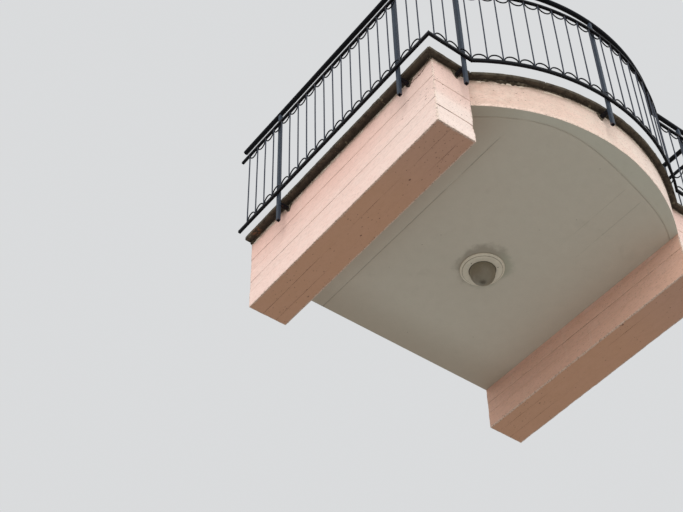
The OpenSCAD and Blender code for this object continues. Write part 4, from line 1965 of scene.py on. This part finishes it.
    def _brackets(self) -> list[Piece]:
        """Builds the stubs that hold the posts, each in a dab of mortar.

        Returns:
            The pieces.
        """
        made, collars = [], Shape()
        section = square_section(self.stub_half, self.stub_corner)
        for word, outward in (("left", -1.0), ("front", 0.0), ("right", 1.0)):
            shape = Shape()
            posts = [post for post in self.posts() if post.outward[0] == outward]
            for number, post in enumerate(posts):
                spine = np.array([-0.004, 0.0, *np.linspace(0.01, post.stub, 4), post.stub + 0.004])
                rows = [np.column_stack([section[:, 0], np.full(len(section), LAYOUT.post_half + s),
                                         LAYOUT.bracket + section[:, 1]]) for s in spine]
                faces = [f[::-1] for f in tube_faces(len(spine), len(section))]
                shape.add(self._stand(post, np.vstack(rows)), faces, edge=0.5)
                for dz in (-0.0125, 0.0125):
                    blob, skin = lump((0, 0.0135, LAYOUT.bracket + dz), (0.011, 0.004, 0.0035),
                                      self.seed + number)
                    shape.add(self._stand(post, blob), skin, edge=0.7)
                seed = self.seed + 7 * number + len(word)
                for dx, dz, size in self.dabs:
                    blob, skin = lump((dx, 0.0125 + post.stub - 0.001, LAYOUT.bracket + dz),
                                      (size, size * 0.62, size), seed + int(dx * 1e3))
                    blob = self._stand(post, blob)
                    blob[:, 2] = np.minimum(blob[:, 2], LAYOUT.deck + 0.004)
                    collars.add(blob, skin)
            piece = shape.build(f"post_stubs_{word}", [self.palette.rail], 35)
            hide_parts(f"post_brackets_{word}")
            made.append(piece)
        collar = collars.build("bracket_mortar", [self.palette.mortar])
        made.append(collar)
        return made

    def _infill(self) -> list[Piece]:
        """Builds the balusters and scallops of every run.

        Returns:
            The pieces.
        """
        edge = LAYOUT.half_width + LAYOUT.rail_out
        front = -LAYOUT.reach - LAYOUT.rail_out
        lines: dict[str, list[Point]] = {}
        for side in Side:
            lines[side.word] = [(side.value * edge, -(LAYOUT.first_baluster + i * LAYOUT.pitch))
                                for i in range(20)]
            number, step = self.front_spaces(side)
            start = side.value * (edge - LAYOUT.corner_gap)
            lines[f"front_{side.word}"] = [(start - side.value * i * step, front)
                                           for i in range(number + 1)]
        half = LAYOUT.rail_bow.half_angle(LAYOUT.rail_out)
        bow = [LAYOUT.rail_bow.at(a, LAYOUT.rail_out)
               for a in np.linspace(-half, half, LAYOUT.bow_spaces + 1)]
        middle = LAYOUT.bow_spaces // 2 + 1
        lines["bow_left"], lines["bow_right"] = bow[:middle + 1], bow[middle:]
        made = []
        for number, (word, line) in enumerate(lines.items()):
            shape = Shape()
            # The last upright of these belongs to the run beside them.
            lent = word in ("front_left", "front_right", "bow_left")
            for i, at in enumerate(line[:-1] if lent else line):
                self._upright(shape, at, self.seed + 50 * number + i)
            for a, b in zip(line[:-1], line[1:]):
                self._scallops(shape, np.array(a), np.array(b))
            piece = shape.build(f"infill_{word}_bars", [self.palette.infill, self.palette.rail], 50)
            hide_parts(f"infill_{word}")
            made.append(piece)
        return made

    def _upright(self, shape: Shape, at: Point, seed: int) -> None:
        """Adds a baluster with a weld at each end.

        Args:
            shape: the shape that it goes into.
            at: its plan position.
            seed: picks its slight bend and the shape of its welds.
        """
        low, high = self.gap
        z = np.linspace(low - 0.002, high + 0.002, 7)
        chance = np.random.default_rng(seed)
        bend = (chance.random(2) - 0.5) * 0.0022
        bow = np.sin(np.pi * (z - low) / (high - low))
        section = ring_section(self.baluster, 12)
        rows = [np.column_stack([section + np.array(at) + bend * b, np.full(len(section), h)])
                for h, b in zip(z, bow)]
        faces = [f[::-1] for f in tube_faces(len(z), len(section))]
        shape.add(np.vstack(rows), faces)
        for height in (low, high):
            spread = 0.9 + 0.35 * chance.random(3)
            blob, skin = lump((*at, height), np.array([1, 1, 0.62]) * self.weld * spread, seed)
            shape.add(blob, skin, edge=0.8)

    def _scallops(self, shape: Shape, a: Array, b: Array) -> None:
        """Adds the two bent bars between neighbouring balusters, welded to them.

        Args:
            shape: the shape that they go into.
            a, b: plan positions of the balusters.
        """
        low, high = self.gap
        chord = float(np.linalg.norm(b - a))
        along = (b - a) / chord
        r = chord / 2 - self.scallop + self.scallop_lap
        normal = np.array([along[1], -along[0], 0.0])
        ring = ring_section(self.scallop, 8)
        turn = np.linspace(0, math.pi, 19)
        for base, up in ((low, 1), (high, -1)):
            reach = np.concatenate([[r], r * np.cos(turn), [-r]])
            rise = np.concatenate([[-0.004], self.scallop_rise * np.sin(turn), [-0.004]])
            plan = (a + b) / 2 + reach[:, None] * along
            spine = np.column_stack([plan, base + up * rise])
            inward = np.cross(unit(np.gradient(spine, axis=0)), normal)
            rod = spine[:, None] + ring[None, :, :1] * inward[:, None] + ring[:, 1:] * normal
            faces = tube_faces(len(spine), 8)
            shape.add(rod.reshape(-1, 3), faces, [1] * len(faces))

    def _rail_welds(self) -> Piece:
        """Builds the ground-down beads where the rails turn a corner.

        Returns:
            The piece.
        """
        shape = Shape()
        wide = LAYOUT.rail_half
        rows = ((LAYOUT.rail_out, LAYOUT.top_rail, wide, wide),
                (LAYOUT.rail_out, LAYOUT.bottom_rail, wide, LAYOUT.bottom_half),
                (LAYOUT.post_out, LAYOUT.handrail, LAYOUT.handrail_radius, 0.0))
        for number, (out, height, half, tall) in enumerate(rows):
            _, path, across, corners = self._line(out)
            for corner in corners:
                loop = ring_section(1.0, 40)
                if tall:
                    blunt = 1 - 0.12 * np.abs(loop[:, :1] * loop[:, 1:])
                    loop *= blunt / np.abs(loop).max(1)[:, None]
                loop *= (half, tall or half)
                side = across[corner]
                ring = np.column_stack([path[corner] + side * loop[:, :1], height + loop[:, 1]])
                self._bead(shape, ring, self.seed + number * 9 + corner)
        piece = shape.build("rail_weld_beads", [self.palette.rail], 50)
        return piece

    @staticmethod
    def _bead(shape: Shape, ring: Array, seed: int) -> None:
        """Adds a low bead along a closed loop.

        Args:
            shape: the shape that it goes into.
            ring: points of the loop.
            seed: picks its unevenness.
        """
        out = unit(ring - ring.mean(0))
        flat = np.cross(unit(np.roll(ring, -1, axis=0) - np.roll(ring, 1, axis=0)), out)
        size = 0.0022 * (1 + 0.35 * rough(ring, 0.006, seed, 2))[:, None]
        rows = []
        for turn in np.arange(6) * math.pi / 3:
            rows.append(ring + size * (0.55 * math.cos(turn) * out + 1.5 * math.sin(turn) * flat))
        points = np.stack(rows, axis=1).reshape(-1, 3)
        shape.add(points, tube_faces(len(ring), 6, "joined"), edge=0.5)


# The lamp


@dataclass
class Lamp:
    """Round bulkhead lamp under the slab, with a frosted dome."""

    palette: Palette
    base_radius: float = 0.162
    ring_radius: float = 0.1432
    dome_radius: float = 0.096
    dome_height: float = 0.115
    fullness: float = 0.85
    rim: float = 0.018
    wall: float = 0.004
    gap: float = 0.0026
    screw_circle: float = 0.113
    screw_angles: tuple[float, ...] = (55.0, 175.0, 295.0)
    head: float = 0.0033
    slot: float = 0.0006
    count: int = 96

    def build(self) -> list[Piece]:
        """Builds every part of the lamp.

        Returns:
            The pieces.
        """
        p = self.palette
        base, bezel, dome, gasket = self._profiles()
        return [
            self._turn("lamp_back_disc", p.plastic, base, "lamp_base"),
            self._turn("lamp_bezel", p.plastic, bezel, "lamp_ring"),
            self._turn("frosted_dome", p.glass, dome, "lamp_glass", 60),
            self._turn("dome_gasket", p.rubber, gasket, None),
            self._screws(),
            *self._bulb(),
        ]

    def _hang(self, points: Array) -> Array:
        """Moves points from the lamp's own middle to its place under the slab."""
        return points * (1, -1, -1) + (LAYOUT.lamp_x, LAYOUT.lamp_y, LAYOUT.soffit)

    def _turn(self, name: str, finish: Material, profile: Profile, node: str | None,
              angle: float = 35) -> Piece:
        """Builds one turned part.

        Args:
            name: the piece's name.
            finish: its material.
            profile: (radius, depth below the slab, edge value) rows.
            node: the node that it replaces, or None.
            angle: faces that meet at less than this many degrees shade smoothly.

        Returns:
            The piece.
        """
        points, faces = lathe([row[:2] for row in profile], self.count)
        edge = np.array([row[2] for row in profile], float)
        if profile[0][0] == 0:
            edge = np.concatenate([np.repeat(edge[1:-1], self.count), edge[[0, -1]]])
        else:
            edge = np.repeat(edge, self.count)
        shape = Shape()
        shape.add(self._hang(points), faces, edge=edge)
        piece = shape.build(name, [finish], angle)
        if node:
            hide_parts(node)
        return piece

    def _profiles(self) -> tuple[Profile, Profile, Profile, Profile]:
        """Profiles of the turned parts.

        Returns:
            (radius, depth below the slab, edge value) rows of the base, the bezel, the
            dome and the gasket.
        """
        # The base has a rounded outer band and a groove inside it.
        r = self.base_radius
        base = [(0, 0.0, 0), (r - 0.002, 0.0, 1), (r, 0.0006, 1), (r, 0.0040, 0.5),
                (r - 0.0008, 0.0066, 0.1), (r - 0.0024, 0.0090, 0.0), (r - 0.0048, 0.0112, 0.0),
                (r - 0.0078, 0.0132, 0.0), (r - 0.0115, 0.0148, 0.0), (r - 0.0148, 0.0157, 0.1),
                (r - 0.0165, 0.0158, 0.5), (r - 0.0172, 0.0150, 1.0), (r - 0.0174, 0.0125, 1.0),
                (0.100, 0.0125, 0.6), (0, 0.0125, 0.3)]
        # The bezel is a flat ring with a rolled lip round the dome.
        r, lip = self.ring_radius, self.dome_radius + 0.0012
        bezel = [(lip, 0.0128, 0.8), (r - 0.001, 0.0128, 1.0), (r, 0.0140, 1.0), (r, 0.0172, 0.6),
                 (r - 0.0008, 0.0186, 0.1), (r - 0.0024, 0.0196, 0.0), (r - 0.0050, 0.0201, 0.0),
                 (0.1240, 0.0208, 0.0), (0.1060, 0.0218, 0.0), (0.1020, 0.0221, 0.0),
                 (0.0995, 0.0220, 0.0), (0.0982, 0.0215, 0.2), (lip, 0.0204, 0.8), (lip, 0.0180, 1.0)]
        # The dome is a deep bowl with its wall.
        outer = self.dome_radius - self.gap
        skins = []
        for off in (0, self.wall):
            r, h = outer - off, self.dome_height - off
            skins.append([(r * math.cos(t) ** self.fullness,
                           self.rim + h * math.sin(t) ** self.fullness, 0)
                          for t in np.linspace(0, math.pi / 2, 25)[1:-1]] + [(0.0, self.rim + h, 0)])
        low = self.rim - 0.004
        dome = skins[1][::-1] + [(outer - self.wall, low, 0.3), (outer, low, 0.5)] + skins[0]
        # The dark gasket fills the gap round the dome.
        r = self.dome_radius
        gasket = [(r - 0.0060, 0.0140, 0), (r + 0.0010, 0.0140, 0), (r + 0.0010, 0.0184, 0),
                  (r - 0.0006, 0.0188, 0), (r - 0.0060, 0.0180, 0)]
        return base, bezel, dome, gasket

    def _screws(self) -> Piece:
        """Builds the three slotted screws in the bezel.

        Returns:
            The piece.
        """
        shape = Shape()
        for angle in self.screw_angles:
            a = math.radians(angle)
            middle = np.array([math.cos(a), math.sin(a), 0]) * self.screw_circle
            points, faces = lathe([(0, 0.0190), (0.0035, 0.0190), (0.0035, 0.0216), (0.0031, 0.0221),
                                   (0, 0.0221)], 24)
            shape.add(self._hang(points + middle), faces, edge=1.0)
            for half in (-1, 1):
                cap, skin = self._half_head(half)
                c, s = math.cos(a * 1.7), math.sin(a * 1.7)
                cap[:, :2] = cap[:, :2] @ np.array([[c, s], [-s, c]])
                shape.add(self._hang(cap + middle), skin, edge=0.3)
        piece = shape.build("bezel_screws", [self.palette.screw], 35)
        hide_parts("lamp_screws")
        return piece

    def _half_head(self, half: int) -> tuple[Array, list[list[int]]]:
        """Makes one half of a slotted screw head.

        Args:
            half: 1 or -1, for the half on this side of the slot.

        Returns:
            Points and faces.
        """
        start = math.asin(self.slot / self.head)
        turn = np.linspace(start, math.pi - start, 12)
        rows = []
        for r, z in ((self.head, 0.0219), (0.0032, 0.0225), (0.0024, 0.0229)):
            x, y = r * np.cos(turn), np.maximum(r * np.sin(turn), self.slot)
            rows.append(np.stack([x, half * y, np.full_like(x, z)], axis=1))
        return np.vstack(rows), tube_faces(3, len(turn))

    def _bulb(self) -> list[Piece]:
        """Builds the bulb and its holder, which show dimly through the dome.

        Returns:
            The pieces.
        """
        glass, skin = lathe([(0, 0.0), (0.011, 0.001), (0.0135, 0.012), (0.019, 0.026), (0.0235, 0.040),
                             (0.0240, 0.050), (0.0205, 0.062), (0.0120, 0.070), (0, 0.0725)], 32)
        metal, jacket = lathe([(0, -0.030), (0.018, -0.030), (0.019, -0.026), (0.019, -0.004),
                               (0.0165, 0.004), (0, 0.004)], 32)
        made = []
        for name, finish, slot, points, faces in (
            ("bulb_envelope", self.palette.bulb, "lamp_glass", glass, skin),
            ("bulb_holder", self.palette.plastic, "lamp_plastic", metal, jacket),
        ):
            lying = np.column_stack([points[:, 2] - 0.030, points[:, 1], points[:, 0] + 0.0440])
            shape = Shape()
            shape.add(self._hang(lying), faces, edge=0.2)
            made.append(shape.build(name, [finish], 35))
        return made


# The studio


@dataclass
class Studio:
    """Camera, soft light and a plain pale floor far below the balcony."""

    floor_height: float = -9.19
    floor_size: float = 70.0
    camera_at: tuple[float, float, float] = (-5.1846, -6.0943, -7.5900)
    camera_turn: tuple[float, float, float] = (0.7294, -0.2599, 0.6076)
    lens: float = 77.31
    backdrop: Colour = (0.70, 0.71, 0.72)
    floor_seen: Colour = (0.62, 0.63, 0.64)
    floor_given: Colour = (0.36, 0.352, 0.34)
    sky: float = 1.05
    ground: float = 0.14
    key: float = 1.7
    fill: float = 0.5

    def build(self) -> list[Piece]:
        """Builds the studio and sets the way that colours are shown.

        Returns:
            The camera, the lamps and the floor.
        """
        bpy.context.scene.view_settings.view_transform = "Standard"
        self._world()
        key = self._sun("key_lamp", self.key, (-0.66, -0.70, 0.26), 50.0)
        fill = self._sun("fill_lamp", self.fill, (0.80, -0.45, 0.35), 70.0)
        return [self._camera(), key, fill, self._floor()]

    def _camera(self) -> Piece:
        """Places the camera as the photograph's one stood.

        Returns:
            The camera.
        """
        lens = bpy.data.cameras.new("camera")
        lens.lens, lens.sensor_width = self.lens, 36.0
        lens.clip_start, lens.clip_end = 0.1, 300.0
        camera = placed("camera", lens)
        turn = Vector(self.camera_turn)
        seen = Matrix.Rotation(turn.length, 3, turn.normalized())
        spin = seen.transposed() @ Matrix.Diagonal((1.0, -1.0, -1.0))
        camera.matrix_world = Matrix.Translation(self.camera_at) @ spin.to_4x4()
        bpy.context.scene.camera = camera
        return camera

    @staticmethod
    def _sun(name: str, strength: float, toward: Sequence[float], spread: float) -> Piece:
        """Makes a very soft lamp.

        Args:
            name: its name.
            strength: its power.
            toward: direction from the balcony to the lamp.
            spread: how wide the lamp looks from the balcony, in degrees.

        Returns:
            The lamp.
        """
        light = bpy.data.lights.new(name, "SUN")
        light.energy, light.angle = strength, math.radians(spread)
        lamp = placed(name, light)
        lamp.rotation_mode = "QUATERNION"
        lamp.rotation_quaternion = Vector(toward).to_track_quat("Z", "Y")
        return lamp

    def _world(self) -> None:
        """Gives a soft sky that is bright above and dim below."""
        world = bpy.data.worlds.new("studio")
        bpy.context.scene.world = world
        world.use_nodes = True
        g = Graph(world.node_tree)
        given = world.node_tree.nodes["Background"]
        out = world.node_tree.nodes["World Output"]
        share = g.step(g.parts(g.use("TexCoord", out="Generated"))[2], -0.12, 0.30)
        g.put(given.inputs["Color"], g.blend(
            share, (self.ground,) * 3, (self.sky * 0.985, self.sky, self.sky * 1.015)))
        path = g.node("LightPath").outputs
        direct = g.math("MAXIMUM", path["Is Camera Ray"], path["Is Glossy Ray"])
        direct = direct.max(path["Is Transmission Ray"])
        seen = g.use("Background", self.backdrop)
        g.put(out.inputs["Surface"], g.use("MixShader", direct, given.outputs[0], seen))

    def _floor(self) -> Piece:
        """Builds the floor.

        Returns:
            The floor.
        """
        count, half = 24, self.floor_size / 2
        line = np.linspace(-half, half, count)
        x, y = np.meshgrid(line, line - 4.0, indexing="ij")
        points = np.stack([x.ravel(), y.ravel(), np.full(x.size, self.floor_height)], 1)
        index = np.arange(count * count).reshape(count, count)
        quads = np.stack([index[:-1, :-1], index[1:, :-1], index[1:, 1:], index[:-1, 1:]],
                         axis=-1).reshape(-1, 4)
        mesh = bpy.data.meshes.new("studio_floor")
        mesh.from_pydata(points.tolist(), [], quads.tolist())
        mesh.materials.append(self._floor_finish())
        floor = placed("studio_floor", mesh)
        return floor

    def _floor_finish(self) -> Material:
        """Pale matt finish that gives the balcony less light than it shows.

        Returns:
            The material.
        """
        g = Surface("pale_studio_floor")
        cloud = g.noise(g.place, 0.35, 3)
        shade = g.blend(g.step(cloud, 0.3, 0.7), self.floor_seen,
                        tuple(c * 1.03 for c in self.floor_seen))
        camera = g.node("LightPath").outputs["Is Camera Ray"]
        g.coat(g.blend(camera, self.floor_given, shade), cloud * 0.1 + 0.85, 0.1)
        return g.material


def main() -> None:
    """Builds the balcony piece by piece."""
    logging.basicConfig(level=logging.INFO, format="%(name)s: %(message)s")
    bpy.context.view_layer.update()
    studio = Studio().build()
    LOG.info("studio: %d objects", len(studio))
    palette = Palette()
    for side in Side:
        Beam(side, palette).build()
    Slab(palette).build()
    for part in (Coping(palette), Paving(palette), Railing(palette), Lamp(palette)):
        pieces = part.build()
        LOG.info("%s: %d pieces", type(part).__name__.lower(), len(pieces))


if __name__ == "__main__":
    main()
